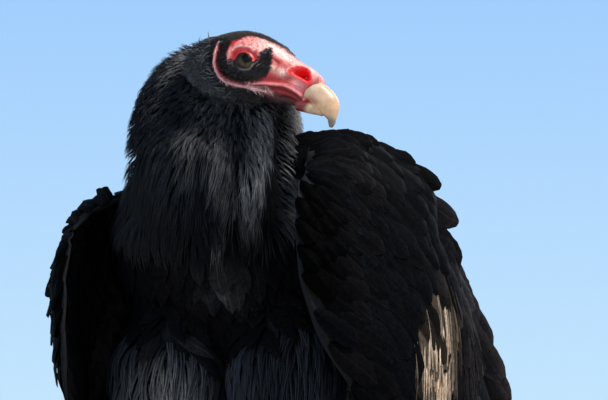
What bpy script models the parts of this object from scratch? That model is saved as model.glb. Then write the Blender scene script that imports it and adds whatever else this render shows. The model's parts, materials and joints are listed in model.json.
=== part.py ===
"""A life-size turkey vulture (Cathartes aura), hunched on its feet with its wings
hanging loose and its head turned to its left.

Built in metres, +Z up. The chest faces -Y, +X is the bird's left, and the floor
under its toes is z = 0. All named sizes below are millimetres and degrees.
"""

import math

import bmesh
import bpy
import numpy as np

MM = 0.001
GAP = 0.3  # thin cut between two neighbouring pieces
# The body is laid out round its own middle, then moved so that the whole
# model's box stands centred on the origin.
CENTRE = np.array([7.0, 118.3, 0.0])

# ---- trunk and neck: (x, y, z, half width, depth to the back, depth to the front)
BODY = [
    (0, 168, 206, 20, 13, 13),
    (0, 140, 218, 42, 26, 30),
    (0, 102, 236, 63, 38, 58),
    (0, 58, 257, 76, 48, 75),
    (0, 14, 281, 82, 59, 83),
    (0, -22, 305, 79, 60, 72),
    (2, -40, 330, 64, 56, 60),
    (5.5, -46, 353, 56, 55, 57),
    (6, -46, 371, 56.5, 53, 52),
    (0.5, -42, 387, 51, 49, 42),
    (-4, -39, 401, 45, 42, 33),
    (-6, -38, 413, 31, 31, 24),
    (-8, -38, 422, 9, 9, 9),
]
# Each piece runs between two places along the body, counted in stations.
BODY_PARTS = {
    "belly": (0, 3, 20, 7),
    "breast": (3, 6, 20, 6),
    "neck": (6, 7, 20, 3),
    "neck_ruff": (7, 12, 20, 9),
}

# ---- head, in its own frame: forward from the eyes, half width, crown, throat
HEAD_AT = np.array([45.0, -90.0, 397.5])
HEAD_TURN, HEAD_DIP = 94.0, 17.0
HEAD = [
    (-33, 9, 6, 14),
    (-27, 16, 14, 19),
    (-16, 19.5, 19.5, 23),
    (-4, 20, 21.5, 24),
    (8, 18.5, 20, 23.5),
    (18, 14.5, 16, 22.5),
    (28, 10.5, 12, 22.5),
    (38, 8.8, 8.2, 23),
    (46, 8.0, 4.0, 23.5),
    (50.5, 7.2, 1.0, 23.5),
]
GAPE, MOUTH = 14.0, -14.0  # corner of the mouth, and the height of its line
EYE_AT, EYE_R = (3.2, 11.8, -3.0), 8.2
NOSTRIL_AT, NOSTRIL_SIZE = (38.0, -2.0), (6.4, 3.0)
# Bill: forward, up, half width, half depth across its curved middle line.
BILL_TOP = [
    (48.0, -6.5, 7.4, 7.6),
    (53.0, -8.6, 7.2, 8.2),
    (58.0, -13.2, 6.4, 7.6),
    (61.2, -18.6, 4.8, 5.2),
    (62.4, -23.2, 2.7, 2.9),
    (62.6, -27.2, 0.9, 0.9),
]
BILL_LOW = [
    (43.0, -19.2, 6.2, 4.2),
    (48.0, -19.8, 5.6, 3.8),
    (53.0, -21.2, 3.6, 2.4),
    (55.8, -22.6, 1.4, 1.0),
]

# ---- wings: the outer surface is laid out along an axis that falls to the back
WING_FALL = 32.0
WING_FRONT = np.array([0.0, -55.0, 300.0])
# distance along, inner top edge, widest, lower edge (all across), rise, drop
WING = [
    (-40, 80, 83, 79, 6, 8),
    (-34, 75, 93, 80, 29, 32),
    (-18, 67, 105, 84, 58, 60),
    (10, 54, 119, 92, 82, 84),
    (50, 40, 134, 102, 94, 98),
    (115, 30, 144, 116, 88, 94),
    (200, 38, 145, 128, 70, 80),
    (300, 50, 131, 122, 47, 58),
    (400, 60, 106, 101, 24, 34),
    (455, 72, 90, 88, 11, 17),
]
BOXINESS = 4.0  # 2 would make the top of each wing a true ellipse
SHOULDER = np.array([48.0, -80.0, 335.0])
# side: sign, rear end outwards, lower edge outwards, shift outwards and up
WINGS = {"l": (1, 0.5, 0.0, 0.0, 4.0), "r": (-1, -4.5, -1.5, -3.0, -23.0)}

# Each layer, outermost first. Its lines from the front to the rear edge give where
# the feathers start and where their scallops start. Then come the count of
# feathers, how far they end beyond that line, the rows of the grid, the stretch
# across the wing, the depth below the outer surface, how far the tips stand off,
# the thickness at places along, and the material.
WING_LAYERS = {
    "scapulars": (
        (-6, 10, 24), (50, 64, 66), 5, 20, 4, (0.1, 0.48), -3.2, 4.0,
        [(0, 1.6), (100, 1.6)], "feather_black",
    ),
    "arm": (
        (-38, -40, -40, -38), (70, 90, 96, 76), 7, 14, 6, (0.03, 1.0), 0.0, 0.0,
        [(-40, 4), (-25, 8), (0, 11), (22, 11), (58, 3.2)], "feather_black",
    ),
    "coverts": (
        (66, 70, 72, 68), (134, 152, 162, 142), 7, 16, 4, (0.03, 1.0), 5.2, 0.0,
        [(66, 7), (88, 7), (108, 3.0)], "feather_brown",
    ),
    "secondaries": (
        (104, 108, 114, 118), (236, 278, 292, 270), 8, 20, 4, (0.04, 0.95), 11.2, 0.0,
        [(100, 2.6), (300, 1.6)], "feather_brown",
    ),
    "primaries": (
        (150, 142, 134), (392, 396, 300), 5, 54, 6, (0.2, 0.9), 15.6, 0.0,
        [(130, 2.6), (300, 1.8)], "feather_black",
    ),
}

# ---- tail
TAIL_ROOT, TAIL_FALL, TAIL_SPREAD = np.array([0.0, 171.0, 191.0]), 29.0, 11.0
TAIL_FEATHERS, TAIL_LENGTH, TAIL_TIP = 9, 196.0, 12.0
TAIL_HALF_ROOT, TAIL_ARCH, TAIL_DROOP, TAIL_THICK = 24.0, 5.0, 9.0, 2.0
TAIL_COVERTS = [
    (0, 150, 213, 36, 12, 22),
    (0, 178, 199, 33, 10, 14),
    (0, 206, 184, 26, 7, 8),
    (0, 236, 168, 14, 3.5, 4.5),
]

# ---- legs and feet, for the left side; the right is its mirror
THIGH = [
    (34, 6, 262, 14, 14, 14),
    (39, -4, 236, 34, 38, 42),
    (41, -10, 212, 38, 42, 46),
    (43, -11, 182, 34, 36, 40),
    (47, 2, 147, 27, 29, 30),
    (49, 20, 112, 17.5, 20, 20),
    (50, 34, 86, 10.5, 12, 12),
    (50, 39, 74, 7.5, 8.5, 8.5),
]
SHIN = [
    (50, 39.6, 72.6, 6.4, 7.6, 7.6),
    (50, 38, 66, 6.2, 7.2, 7.0),
    (50, 33, 52, 4.6, 5.2, 5.2),
    (50.5, 27.5, 34, 4.6, 5.2, 5.2),
    (51, 23, 19, 6.4, 6.4, 6.4),
]
FOOT_AT = np.array([51.0, 19.0, 7.5])
HUB_R = 9.5
# name: heading from straight ahead, outwards, length, thickness, claw length
TOES = {
    "inner": (-30, 43, 5.0, 13),
    "middle": (4, 60, 5.4, 15),
    "outer": (34, 47, 4.8, 12),
    "hind": (196, 21, 4.6, 11),
}

COLOURS = {  # base colour, roughness, metallic
    "skin_red": ((0.50, 0.09, 0.07), 0.55, 0.0),
    "feather_black": ((0.018, 0.018, 0.022), 0.5, 0.0),
    "feather_brown": ((0.045, 0.034, 0.028), 0.55, 0.0),
    "horn_ivory": ((0.78, 0.68, 0.50), 0.35, 0.0),
    "eye_brown": ((0.03, 0.018, 0.010), 0.05, 0.0),
    "leg_skin": ((0.42, 0.33, 0.31), 0.6, 0.0),
    "claw_horn": ((0.05, 0.045, 0.04), 0.4, 0.0),
}


# ---------------------------------------------------------------- small tools


def clear_scene():
    for obj in list(bpy.data.objects):
        bpy.data.objects.remove(obj)


def material(name):
    """One Principled material for each kind of surface."""
    if name in bpy.data.materials:
        return bpy.data.materials[name]
    colour, roughness, metallic = COLOURS[name]
    made = bpy.data.materials.new(name)
    made.use_nodes = True
    shader = made.node_tree.nodes["Principled BSDF"]
    shader.inputs["Base Color"].default_value = (*colour, 1)
    shader.inputs["Roughness"].default_value = roughness
    shader.inputs["Metallic"].default_value = metallic
    made.diffuse_color = (*colour, 1)
    return made


def collection(name, hidden=False):
    found = bpy.data.collections.get(name)
    if found is None:
        found = bpy.data.collections.new(name)
        bpy.context.scene.collection.children.link(found)
        found.hide_render = hidden
    return found


def add_mesh(name, points, faces, kind, into="vulture"):
    """An object from points in millimetres, its faces turned to point out."""
    mesh = bpy.data.meshes.new(name)
    placed = (np.asarray(points, float) - CENTRE) * MM
    mesh.from_pydata([tuple(p) for p in placed], [], faces)
    work = bmesh.new()
    work.from_mesh(mesh)
    bmesh.ops.recalc_face_normals(work, faces=work.faces)
    work.to_mesh(mesh)
    work.free()
    mesh.materials.append(material(kind))
    obj = bpy.data.objects.new(name, mesh)
    collection(into, hidden=into == "cutters").objects.link(obj)
    if into == "cutters":
        obj.hide_render = True
        obj.display_type = "WIRE"
    return obj


def loft(name, rings, kind, into="vulture"):
    """A closed solid through rings of equal count, its two ends capped."""
    count = len(rings[0])
    faces = [tuple(reversed(range(count)))]
    for r in range(len(rings) - 1):
        a, b = r * count, (r + 1) * count
        faces += [
            (a + i, a + (i + 1) % count, b + (i + 1) % count, b + i)
            for i in range(count)
        ]
    faces.append(tuple((len(rings) - 1) * count + i for i in range(count)))
    return add_mesh(name, np.concatenate(rings), faces, kind, into)


def smooth(rows, at):
    """Rows of numbers read at the places `at`, counted in rows, on a smooth curve."""
    rows = np.asarray(rows, float)
    last = len(rows) - 1
    at = np.clip(np.asarray(at, float), 0, last)
    i = np.minimum(at.astype(int), last - 1)
    t = (at - i)[..., None]
    before, after = rows[np.maximum(i - 1, 0)], rows[np.minimum(i + 2, last)]
    a, b = rows[i], rows[i + 1]
    return 0.5 * (
        2 * a
        + (b - before) * t
        + (2 * before - 5 * a + 4 * b - after) * t**2
        + (3 * a - before - 3 * b + after) * t**3
    )


def unit(v):
    return v / np.linalg.norm(v, axis=-1, keepdims=True)


def oval(centre, side, up, half, above, below, count):
    """A ring of points: an egg-shaped oval, deeper above or below its middle."""
    angle = np.arange(count) * 2 * math.pi / count
    across, rise = np.cos(angle) * half, np.sin(angle)
    rise = np.where(rise > 0, rise * above, rise * below)
    return centre + across[:, None] * side + rise[:, None] * up


def limb(name, rows, kind, count, steps, side=(1, 0, 0), first=0.0, last=None):
    """A solid round a curved line. A row is x, y, z, half width, and the depths to
    the back and to the front."""
    last = len(rows) - 1 if last is None else last
    side = np.asarray(side, float)
    places = np.linspace(first, last, steps)
    read = smooth(rows, places)
    step = 0.05
    heading = unit(smooth(rows, places + step)[:, :3] - smooth(rows, places - step)[:, :3])
    rings = []
    for row, ahead in zip(read, heading):
        up = unit(np.cross(side, ahead))
        across = np.cross(ahead, up)
        rings.append(oval(row[:3], across, up, row[3], row[4], row[5], count))
    return loft(name, rings, kind)


def mirrored(rows, sign):
    return [(row[0] * sign, *row[1:]) for row in rows]


def settle(obj):
    """Replaces the object's mesh by what its modifiers make of it."""
    graph = bpy.context.evaluated_depsgraph_get()
    made = bpy.data.meshes.new_from_object(obj.evaluated_get(graph))
    obj.modifiers.clear()
    obj.data = made


def combine(obj, other, operation):
    """A Boolean, by the exact method, or by the quick one where that finds nothing."""
    before = obj.data
    for solver in ("EXACT", "MANIFOLD"):
        obj.data = before
        cut = obj.modifiers.new("combine", "BOOLEAN")
        cut.operation, cut.object, cut.solver = operation, other, solver
        settle(obj)
        if len(obj.data.polygons):
            break


def boxes_meet(one, two):
    corners = []
    for obj in (one, two):
        points = np.array([v.co for v in obj.data.vertices])
        corners.append((points.min(axis=0) - GAP * MM, points.max(axis=0) + GAP * MM))
    (low_1, high_1), (low_2, high_2) = corners
    return bool(np.all(low_1 < high_2) and np.all(low_2 < high_1))


def joined(name, pieces):
    """Overlapping pieces made one solid."""
    first = pieces[0]
    for other in pieces[1:]:
        combine(first, other, "UNION")
        bpy.data.objects.remove(other)
    first.name = first.data.name = name
    return first


def without_crumbs(obj):
    """Keeps the largest body, where a cut has left small loose bits beside it."""
    work = bmesh.new()
    work.from_mesh(obj.data)
    bmesh.ops.remove_doubles(work, verts=work.verts, dist=1e-7)
    left, bodies = set(work.verts), []
    while left:
        body, edge = set(), [left.pop()]
        while edge:
            vert = edge.pop()
            body.add(vert)
            near = {e.other_vert(vert) for e in vert.link_edges} & left
            left -= near
            edge.extend(near)
        bodies.append(body)
    largest = max(bodies, key=len)
    loose = [v for v in work.verts if v not in largest]
    bmesh.ops.delete(work, geom=loose, context="VERTS")
    work.to_mesh(obj.data)
    work.free()


def cleared(obj, neighbour, gap=GAP):
    """Cuts the neighbour's shape, grown by the thin gap, out of the object."""
    if not boxes_meet(obj, neighbour):
        return obj
    grown = neighbour.copy()
    grown.data = neighbour.data.copy()
    collection("cutters", hidden=True).objects.link(grown)
    grown.name = f"{obj.name}_clear_of_{neighbour.name}"
    grown.hide_render, grown.display_type = True, "WIRE"
    swell = grown.modifiers.new("gap", "DISPLACE")
    swell.strength, swell.mid_level = gap * MM * 1.15, 0.0
    settle(grown)
    combine(obj, grown, "DIFFERENCE")
    without_crumbs(obj)
    return obj


def smooth_shaded(obj, angle=50):
    obj.data.shade_smooth()
    obj.data.set_sharp_from_angle(angle=math.radians(angle))


# ------------------------------------------------------------- trunk and neck


def make_body():
    cut = GAP / 2 / 26  # the cut's half thickness as a share of a station
    for name, (first, last, count, steps) in BODY_PARTS.items():
        low = first + cut * (first > 0)
        high = last - cut * (last < len(BODY) - 1)
        limb(name, BODY, "feather_black", count, steps, first=low, last=high)


# ----------------------------------------------------------------------- head


def head_frame():
    """The head's forward, right and up directions in the model's frame."""
    turn, dip = math.radians(HEAD_TURN), math.radians(HEAD_DIP)
    level = np.array([math.sin(turn), -math.cos(turn), 0.0])
    forward = level * math.cos(dip) - np.array([0, 0, math.sin(dip)])
    right = unit(np.cross(forward, (0, 0, 1)))
    return forward, right, np.cross(right, forward)


def in_head(forward, right, up):
    f, r, u = head_frame()
    return (
        HEAD_AT
        + np.multiply.outer(forward, f)
        + np.multiply.outer(right, r)
        + np.multiply.outer(up, u)
    )


def head_block(name, low, high):
    """A cutting box between two corners of the head's frame."""
    corners = [
        in_head(f, r, u)
        for f in (low[0], high[0])
        for r in (low[1], high[1])
        for u in (low[2], high[2])
    ]
    faces = [(0, 1, 3, 2), (4, 6, 7, 5), (0, 4, 5, 1), (2, 3, 7, 6), (0, 2, 6, 4), (1, 5, 7, 3)]
    return add_mesh(name, corners, faces, "skin_red", "cutters")


def ball(name, centre, radius, kind, into="vulture", scale=(1, 1, 1), rings=7):
    """A sphere, or an egg with the head's forward, right and up as its axes."""
    work = bmesh.new()
    bmesh.ops.create_uvsphere(work, u_segments=rings * 2, v_segments=rings, radius=radius)
    axes = np.stack(head_frame(), axis=1) * np.asarray(scale)
    points = [centre + axes @ np.array(v.co) for v in work.verts]
    faces = [tuple(v.index for v in face.verts) for face in work.faces]
    work.free()
    return add_mesh(name, points, faces, kind, into)


def curved_horn(name, rows, count, steps):
    """A bill tip: ovals across a middle line that bends in the head's mid plane."""
    f, r, u = head_frame()
    places = np.linspace(0, len(rows) - 1, steps)
    read = smooth(rows, places)
    ahead = smooth(rows, places + 0.05)[:, :2] - smooth(rows, places - 0.05)[:, :2]
    rings = []
    for (forward, rise, half, depth), (df, du) in zip(read, ahead):
        normal = unit(np.array([-du, df]))
        up = normal[0] * f + normal[1] * u
        rings.append(oval(in_head(forward, 0, rise), r, up, half, depth, depth, count))
    return loft(name, rings, "horn_ivory")


def make_head():
    """Skull skin, lower jaw, both halves of the bill, and the eyes."""
    f, r, u = head_frame()
    rows = smooth(HEAD, np.linspace(0, len(HEAD) - 1, 13))
    rings = [oval(in_head(a, 0, 0), r, u, w, top, low, 16) for a, w, top, low in rows]
    head = loft("head", rings, "skin_red")
    jaw = loft("jaw", rings, "skin_red")
    bill = curved_horn("bill_upper", BILL_TOP, 12, 9)
    tip = curved_horn("bill_lower", BILL_LOW, 10, 5)

    half_gap, far = GAP / 2, 60
    below = head_block("below_mouth", (GAPE - half_gap, -far, -far), (far * 2, far, MOUTH + half_gap))
    jaw_room = head_block("jaw_room", (GAPE + half_gap, -far, -far), (far * 2, far, MOUTH - half_gap))
    combine(head, below, "DIFFERENCE")
    combine(jaw, jaw_room, "INTERSECT")

    for trunk_part in ("neck", "neck_ruff"):
        for piece in (head, jaw):
            cleared(bpy.data.objects[trunk_part], piece)

    # The perforate nostril goes right through, from side to side.
    slot = ball("nostril_slot", in_head(NOSTRIL_AT[0], 0, NOSTRIL_AT[1]), 1.0, "skin_red",
                "cutters", (NOSTRIL_SIZE[0], 40, NOSTRIL_SIZE[1]), 5)
    combine(head, slot, "DIFFERENCE")

    cleared(tip, bill)
    cleared(head, bill)
    cleared(jaw, bill)
    cleared(jaw, tip)
    for side, sign in (("r", 1), ("l", -1)):
        centre = in_head(EYE_AT[0], sign * EYE_AT[1], EYE_AT[2])
        eye = ball(f"eye_{side}", centre, EYE_R, "eye_brown", rings=6)
        cleared(head, eye)
        cleared(bpy.data.objects["neck_ruff"], eye)
        smooth_shaded(eye)


# ---------------------------------------------------------------------- wings


def wing_surface(along, across, inset=0.0):
    """Points of the left wing's outer surface before it is hung on a shoulder.
    `along` is the distance from the front, and `across` goes from 0 at the inner
    top edge over 0.5 at the widest line to 1 at the lower edge."""
    rows = np.asarray(WING, float)
    along, across = np.broadcast_arrays(np.asarray(along, float), np.asarray(across, float))
    place = np.interp(along, rows[:, 0], np.arange(len(rows)))
    _, inner, widest, lower, rise, drop = np.moveaxis(smooth(rows, place), -1, 0)
    angle = np.clip(across * 2, 0, 1) * math.pi / 2
    reach = (np.sin(angle) ** BOXINESS + np.cos(angle) ** BOXINESS) ** (-1 / BOXINESS)
    top_x = inner + (widest - inner) * np.sin(angle) * reach
    top_h = rise * np.cos(angle) * reach
    low = np.clip(across * 2 - 1, 0, 1)
    x = np.where(across <= 0.5, top_x, widest + (lower - widest) * low**1.6)
    h = np.where(across <= 0.5, top_h, -drop * low)
    fall = math.radians(WING_FALL)
    points = np.stack(
        [
            x,
            WING_FRONT[1] + along * math.cos(fall) + h * math.sin(fall),
            WING_FRONT[2] - along * math.sin(fall) + h * math.cos(fall),
        ],
        axis=-1,
    )
    if np.any(inset):
        points = points - wing_normal(along, across) * np.asarray(inset)[..., None]
    return points


def wing_normal(along, across):
    step_a, step_c = 2.0, 0.02
    da = wing_surface(along + step_a, across) - wing_surface(along - step_a, across)
    high, low = np.clip(across + step_c, 0.001, 1), np.clip(across - step_c, 0.001, 1)
    return unit(np.cross(wing_surface(along, high) - wing_surface(along, low), da))


def hung(points, side):
    """The wing's points swung about its shoulder and moved to its own side."""
    sign, swing, spread, outwards, lift = WINGS[side]
    swing, spread = math.radians(swing), math.radians(spread)
    arm = points - SHOULDER
    x = arm[..., 0] * math.cos(spread) - arm[..., 2] * math.sin(spread)
    z = arm[..., 0] * math.sin(spread) + arm[..., 2] * math.cos(spread)
    y = arm[..., 1] * math.cos(swing) - x * math.sin(swing)
    x = x * math.cos(swing) + arm[..., 1] * math.sin(swing)
    placed = np.stack([x + outwards, y, z + lift], axis=-1) + SHOULDER
    return placed * (sign, 1, 1)


def sheet(name, outer, inner, kind):
    """A closed solid between two grids of points, an outer and an inner face."""
    rows, columns = outer.shape[:2]
    count = rows * columns

    def at(r, c, layer):
        return layer * count + r * columns + c

    faces = []
    for r in range(rows - 1):
        for c in range(columns - 1):
            ring = ((r, c), (r, c + 1), (r + 1, c + 1), (r + 1, c))
            faces.append([at(i, j, 0) for i, j in reversed(ring)])
            faces.append([at(i, j, 1) for i, j in ring])
    rim = [(0, c) for c in range(columns)]
    rim += [(r, columns - 1) for r in range(1, rows)]
    rim += [(rows - 1, c) for c in range(columns - 2, -1, -1)]
    rim += [(r, 0) for r in range(rows - 2, 0, -1)]
    for one, two in zip(rim, rim[1:] + rim[:1]):
        faces.append((at(*one, 0), at(*two, 0), at(*two, 1), at(*one, 1)))
    points = np.concatenate([outer.reshape(-1, 3), inner.reshape(-1, 3)])
    return add_mesh(name, points, faces, kind)


def evenly(values, places):
    """The values, set evenly from 0 to 1, read at the places."""
    return np.interp(places, np.linspace(0, 1, len(values)), values)


def feather_grid(start, edge, lobes, scallop, rows, per_lobe=3):
    """How far along, and how far across from 0 to 1, each point of a row of
    feathers lies. The feathers start at `start` and end round beyond `edge`."""
    place = np.linspace(0, 1, lobes * per_lobe + 1)
    bulge = np.sqrt(np.clip(1 - (2 * ((place * lobes) % 1.0) - 1) ** 2, 0, 1))
    front = evenly(start, place)
    share = np.linspace(0, 1, rows)[:, None]
    along = front + (evenly(edge, place) + scallop * bulge - front) * share
    return along, np.broadcast_to(place, along.shape), share


def wing_layer(name, side, spec):
    """One layer of a wing, from its line in WING_LAYERS."""
    start, edge, lobes, scallop, rows, (low, high), inset, flare, thickness, kind = spec
    along, place, share = feather_grid(start, edge, lobes, scallop, rows)
    over = low + (high - low) * place
    deep = inset - flare * share**2 * np.ones_like(along)
    thick = np.interp(along, [p[0] for p in thickness], [p[1] for p in thickness])
    outer = hung(wing_surface(along, over, deep), side)
    inner = hung(wing_surface(along, over, deep + thick), side)
    return sheet(f"wing_{side}_{name}", outer, inner, kind)


def make_wing(side):
    for name, spec in WING_LAYERS.items():
        piece = wing_layer(name, side, spec)
        for other in (*BODY_PARTS, "tail_coverts", "tail"):
            cleared(piece, bpy.data.objects[other])


# ----------------------------------------------------------------------- tail


def tail_surface(along, place, inset):
    """The tail's upper face: a fan that arches across and droops to its end."""
    fall = math.radians(TAIL_FALL)
    back = np.array([0, math.cos(fall), -math.sin(fall)])
    up = np.array([0, math.sin(fall), math.cos(fall)])
    aside = 2 * place - 1
    turn = np.radians(TAIL_SPREAD) * aside
    x = aside * TAIL_HALF_ROOT + along * np.sin(turn)
    rise = -TAIL_ARCH * aside**2 - TAIL_DROOP * (along / TAIL_LENGTH) ** 2 - inset
    return (
        TAIL_ROOT
        + x[..., None] * np.array([1.0, 0, 0])
        + (along * np.cos(turn))[..., None] * back
        + rise[..., None] * up
    )


def make_tail():
    ends = (TAIL_LENGTH - 9, TAIL_LENGTH - 2, TAIL_LENGTH, TAIL_LENGTH - 2, TAIL_LENGTH - 9)
    along, place, _ = feather_grid((0, 0), ends, TAIL_FEATHERS, TAIL_TIP, 4)
    outer, inner = (tail_surface(along, place, depth) for depth in (0.0, TAIL_THICK))
    tail = sheet("tail", outer, inner, "feather_brown")
    coverts = limb("tail_coverts", TAIL_COVERTS, "feather_brown", 12, 4)
    cleared(coverts, bpy.data.objects["belly"])
    cleared(coverts, tail)


# ----------------------------------------------------------------------- legs


def claw(name, start, heading, length, thick):
    """A claw that curves down till its point is just over the floor."""
    share = np.linspace(0, 1, 5)
    drop = (start[2] - 1.2) * share**2
    middle = start + np.outer(share * length, heading)
    middle[:, 2] = start[2] + 1.4 * np.sin(share * math.pi) - drop
    width = thick * (1 - share) ** 0.75 + 0.35
    side = unit(np.cross(heading, (0, 0, 1)))
    rings = [
        oval(m, side, np.array([0, 0, 1.0]), w * 0.8, w, w, 6) for m, w in zip(middle, width)
    ]
    return loft(name, rings, "claw_horn")


def toe(side_sign, spec):
    """One toe with padded joints, flat under, and the place where its claw starts."""
    turn, length, thick, _ = spec
    angle = math.radians(turn)
    heading = np.array([math.sin(angle) * side_sign, -math.cos(angle), 0.0])
    foot = FOOT_AT * (side_sign, 1, 1)
    rows = []
    for share in (0.0, 0.3, 0.42, 0.62, 0.74, 0.92, 1.0):
        bulge = 1.0 + 0.14 * math.cos(share * 2 * math.pi / 0.32)
        radius = thick * (1.12 - 0.3 * share) * bulge
        x, y, _ = foot + heading * share * length
        rows.append((x, y, radius * 0.82, radius, radius, radius))
    return rows, heading


def underfloor():
    """A cutting slab whose top is the floor."""
    work = bmesh.new()
    bmesh.ops.create_cube(work, size=400.0)
    points = [np.array(v.co) - (0, 0, 200.0) for v in work.verts]
    faces = [tuple(v.index for v in face.verts) for face in work.faces]
    work.free()
    return add_mesh("underfloor", points, faces, "leg_skin", "cutters")


def make_foot(side, sign):
    pieces = []
    for name, spec in TOES.items():
        rows, heading = toe(sign, spec)
        level = unit(np.cross(heading, (0, 0, 1)))
        part = limb(f"toe_{side}_{name}", rows, "leg_skin", 7, 7, side=level)
        pieces.append(part)
        end = np.array(rows[-1][:3]) + heading * (GAP + 0.05)
        end[2] = spec[2] * 0.72
        claw(f"claw_{side}_{name}", end, heading, spec[3], spec[2] * 0.62)
    hub = FOOT_AT * (sign, 1, 1) + (0.3, 0.4, 0.6)
    pieces.append(ball(f"hub_{side}", hub, HUB_R, "leg_skin", rings=5))
    foot = joined(f"foot_{side}", pieces)
    combine(foot, underfloor(), "DIFFERENCE")
    return foot


def make_legs():
    for side, sign in (("l", 1), ("r", -1)):
        thigh = limb(f"thigh_{side}", mirrored(THIGH, sign), "feather_black", 16, 8)
        for trunk_part in ("belly", "breast"):
            cleared(thigh, bpy.data.objects[trunk_part])
        shin = limb(f"shin_{side}", mirrored(SHIN, sign), "leg_skin", 10, 7)
        cleared(shin, make_foot(side, sign))
        cleared(shin, thigh)


# --------------------------------------------------------------------- finish


def finish():
    for obj in collection("vulture").objects:
        smooth_shaded(obj)


def main():
    clear_scene()
    make_body()
    make_head()
    make_tail()
    for side in WINGS:
        make_wing(side)
    make_legs()
    finish()


main()
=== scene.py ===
"""The looks of a life-size turkey vulture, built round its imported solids.

Lengths are body millimetres and angles degrees, as in the solids' source, until a
mesh is made: the chest faces -Y, +X is the bird's left, and the floor is z = 0.
"""

import json
import math

import bpy
import numpy as np
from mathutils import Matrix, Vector
from mathutils.bvhtree import BVHTree

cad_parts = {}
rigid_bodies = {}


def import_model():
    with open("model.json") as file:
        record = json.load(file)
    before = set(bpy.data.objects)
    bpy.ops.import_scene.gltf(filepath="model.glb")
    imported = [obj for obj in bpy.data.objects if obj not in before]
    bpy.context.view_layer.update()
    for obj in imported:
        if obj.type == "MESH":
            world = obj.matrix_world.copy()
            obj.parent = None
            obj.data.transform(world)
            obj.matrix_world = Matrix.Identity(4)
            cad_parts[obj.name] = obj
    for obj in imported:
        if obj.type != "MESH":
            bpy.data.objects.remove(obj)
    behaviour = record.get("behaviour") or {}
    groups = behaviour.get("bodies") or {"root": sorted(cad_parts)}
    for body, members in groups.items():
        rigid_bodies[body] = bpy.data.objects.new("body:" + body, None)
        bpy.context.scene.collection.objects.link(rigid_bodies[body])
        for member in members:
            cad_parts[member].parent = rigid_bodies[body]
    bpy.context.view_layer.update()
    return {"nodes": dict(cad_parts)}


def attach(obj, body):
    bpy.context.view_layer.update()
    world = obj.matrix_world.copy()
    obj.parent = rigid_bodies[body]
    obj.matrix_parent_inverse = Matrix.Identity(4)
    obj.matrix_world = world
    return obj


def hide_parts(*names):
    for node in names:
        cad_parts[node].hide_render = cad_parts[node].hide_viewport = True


MM = 0.001
CENTRE = np.array([7.0, 118.3, 0.0])  # the body's own middle, in the row frame
PATCH = 0.003  # side of one feather's patch on the unwrap
WHOLE_MAP = (0, 0, 1, 1)  # left, bottom, width and height of a box of the unwrap
MOST_TRIANGLES = 190000  # in one piece of the coat
MOST_AT_ONCE = 50000  # triangles, about, of the feathers that are made in one go
SEEDS = {"l": 41, "r": 43, "tail": 47, "body": 53, "face": 59}
SHARP_ANGLE = math.radians(70)

# ---- trunk: (x, y, z, half width, depth to the back, depth to the front)
BODY = np.array([
    (0, 168, 206, 20, 13, 13), (0, 140, 218, 42, 26, 30), (0, 102, 236, 63, 38, 58),
    (0, 58, 257, 76, 48, 75), (0, 14, 281, 82, 59, 83), (0, -22, 305, 79, 60, 72),
    (2, -40, 330, 64, 56, 60), (5.5, -46, 353, 56, 55, 57), (6, -46, 371, 56.5, 53, 52),
    (0.5, -42, 387, 51, 49, 42), (-4, -39, 401, 45, 42, 33), (-6, -38, 413, 31, 31, 24),
    (-8, -38, 422, 9, 9, 9),
])
RUFF_FROM, NECK_FROM = 7.0, 5.4  # places along BODY, counted in its rows
RUFF_AXIS = np.array([6.0, -46.0, 0.0])  # a point on the upright axis of the ruff
THIGH = np.array([
    (34, 6, 262, 14, 14, 14), (39, -4, 236, 34, 38, 42), (41, -10, 212, 38, 42, 46),
    (43, -11, 182, 34, 36, 40), (47, 2, 147, 27, 29, 30), (49, 20, 112, 17.5, 20, 20),
    (50, 34, 86, 10.5, 12, 12), (50, 39, 74, 7.5, 8.5, 8.5),
])
RUMP = np.array([
    (0, 150, 213, 36, 12, 22), (0, 178, 199, 33, 10, 14), (0, 206, 184, 26, 7, 8),
    (0, 236, 168, 14, 3.5, 4.5),
])

# ---- head, in its own frame: (forward from the eyes, half width, crown, throat)
HEAD_AT = np.array([45.0, -90.0, 397.5])
HEAD_TURN, HEAD_DIP = 94.0, 17.0
HEAD = np.array([
    (-33, 9, 6, 14), (-27, 16, 14, 19), (-16, 19.5, 19.5, 23), (-4, 20, 21.5, 24),
    (8, 18.5, 20, 23.5), (18, 14.5, 16, 22.5), (28, 10.5, 12, 22.5), (38, 8.8, 8.2, 23),
    (46, 8.0, 4.0, 23.5), (52.5, 6.9, 0.4, 23.5),
])
HEAD_MAP_FROM, HEAD_MAP_SPAN = 34, 90  # the part of the head's length that its unwrap covers
EYE_AT, EYE_R = (3.2, 11.8, -3.0), 8.2
GAZE = 16.0  # degrees that the eye looks ahead of straight out
NOSTRIL_AT, NOSTRIL_HALF, NOSTRIL_DIP = (38.9, -1.1), (6.5, 3.6), 13.0
# Both parts of the bill: (forward, up, half width, half depth).
BILL_TOP = np.array([
    (42.2, -9.4, 6.5, 6.0), (47.6, -9.0, 7.3, 7.2), (52.4, -11.0, 7.0, 7.6), (57.4, -14.2, 6.3, 7.4),
    (60.7, -18.2, 4.8, 5.6), (62.9, -22.2, 2.8, 3.0), (63.6, -24.9, 1.9, 2.2), (63.8, -26.9, 1.3, 1.5),
    (63.8, -27.9, 0.7, 0.9),
])
BILL_LOW = np.array([
    (39.0, -18.8, 4.4, 3.7), (43.0, -18.6, 5.2, 3.9), (48.0, -18.6, 5.3, 4.0),
    (52.5, -19.4, 4.2, 3.1), (56.5, -21.2, 1.8, 1.4),
])
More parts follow.
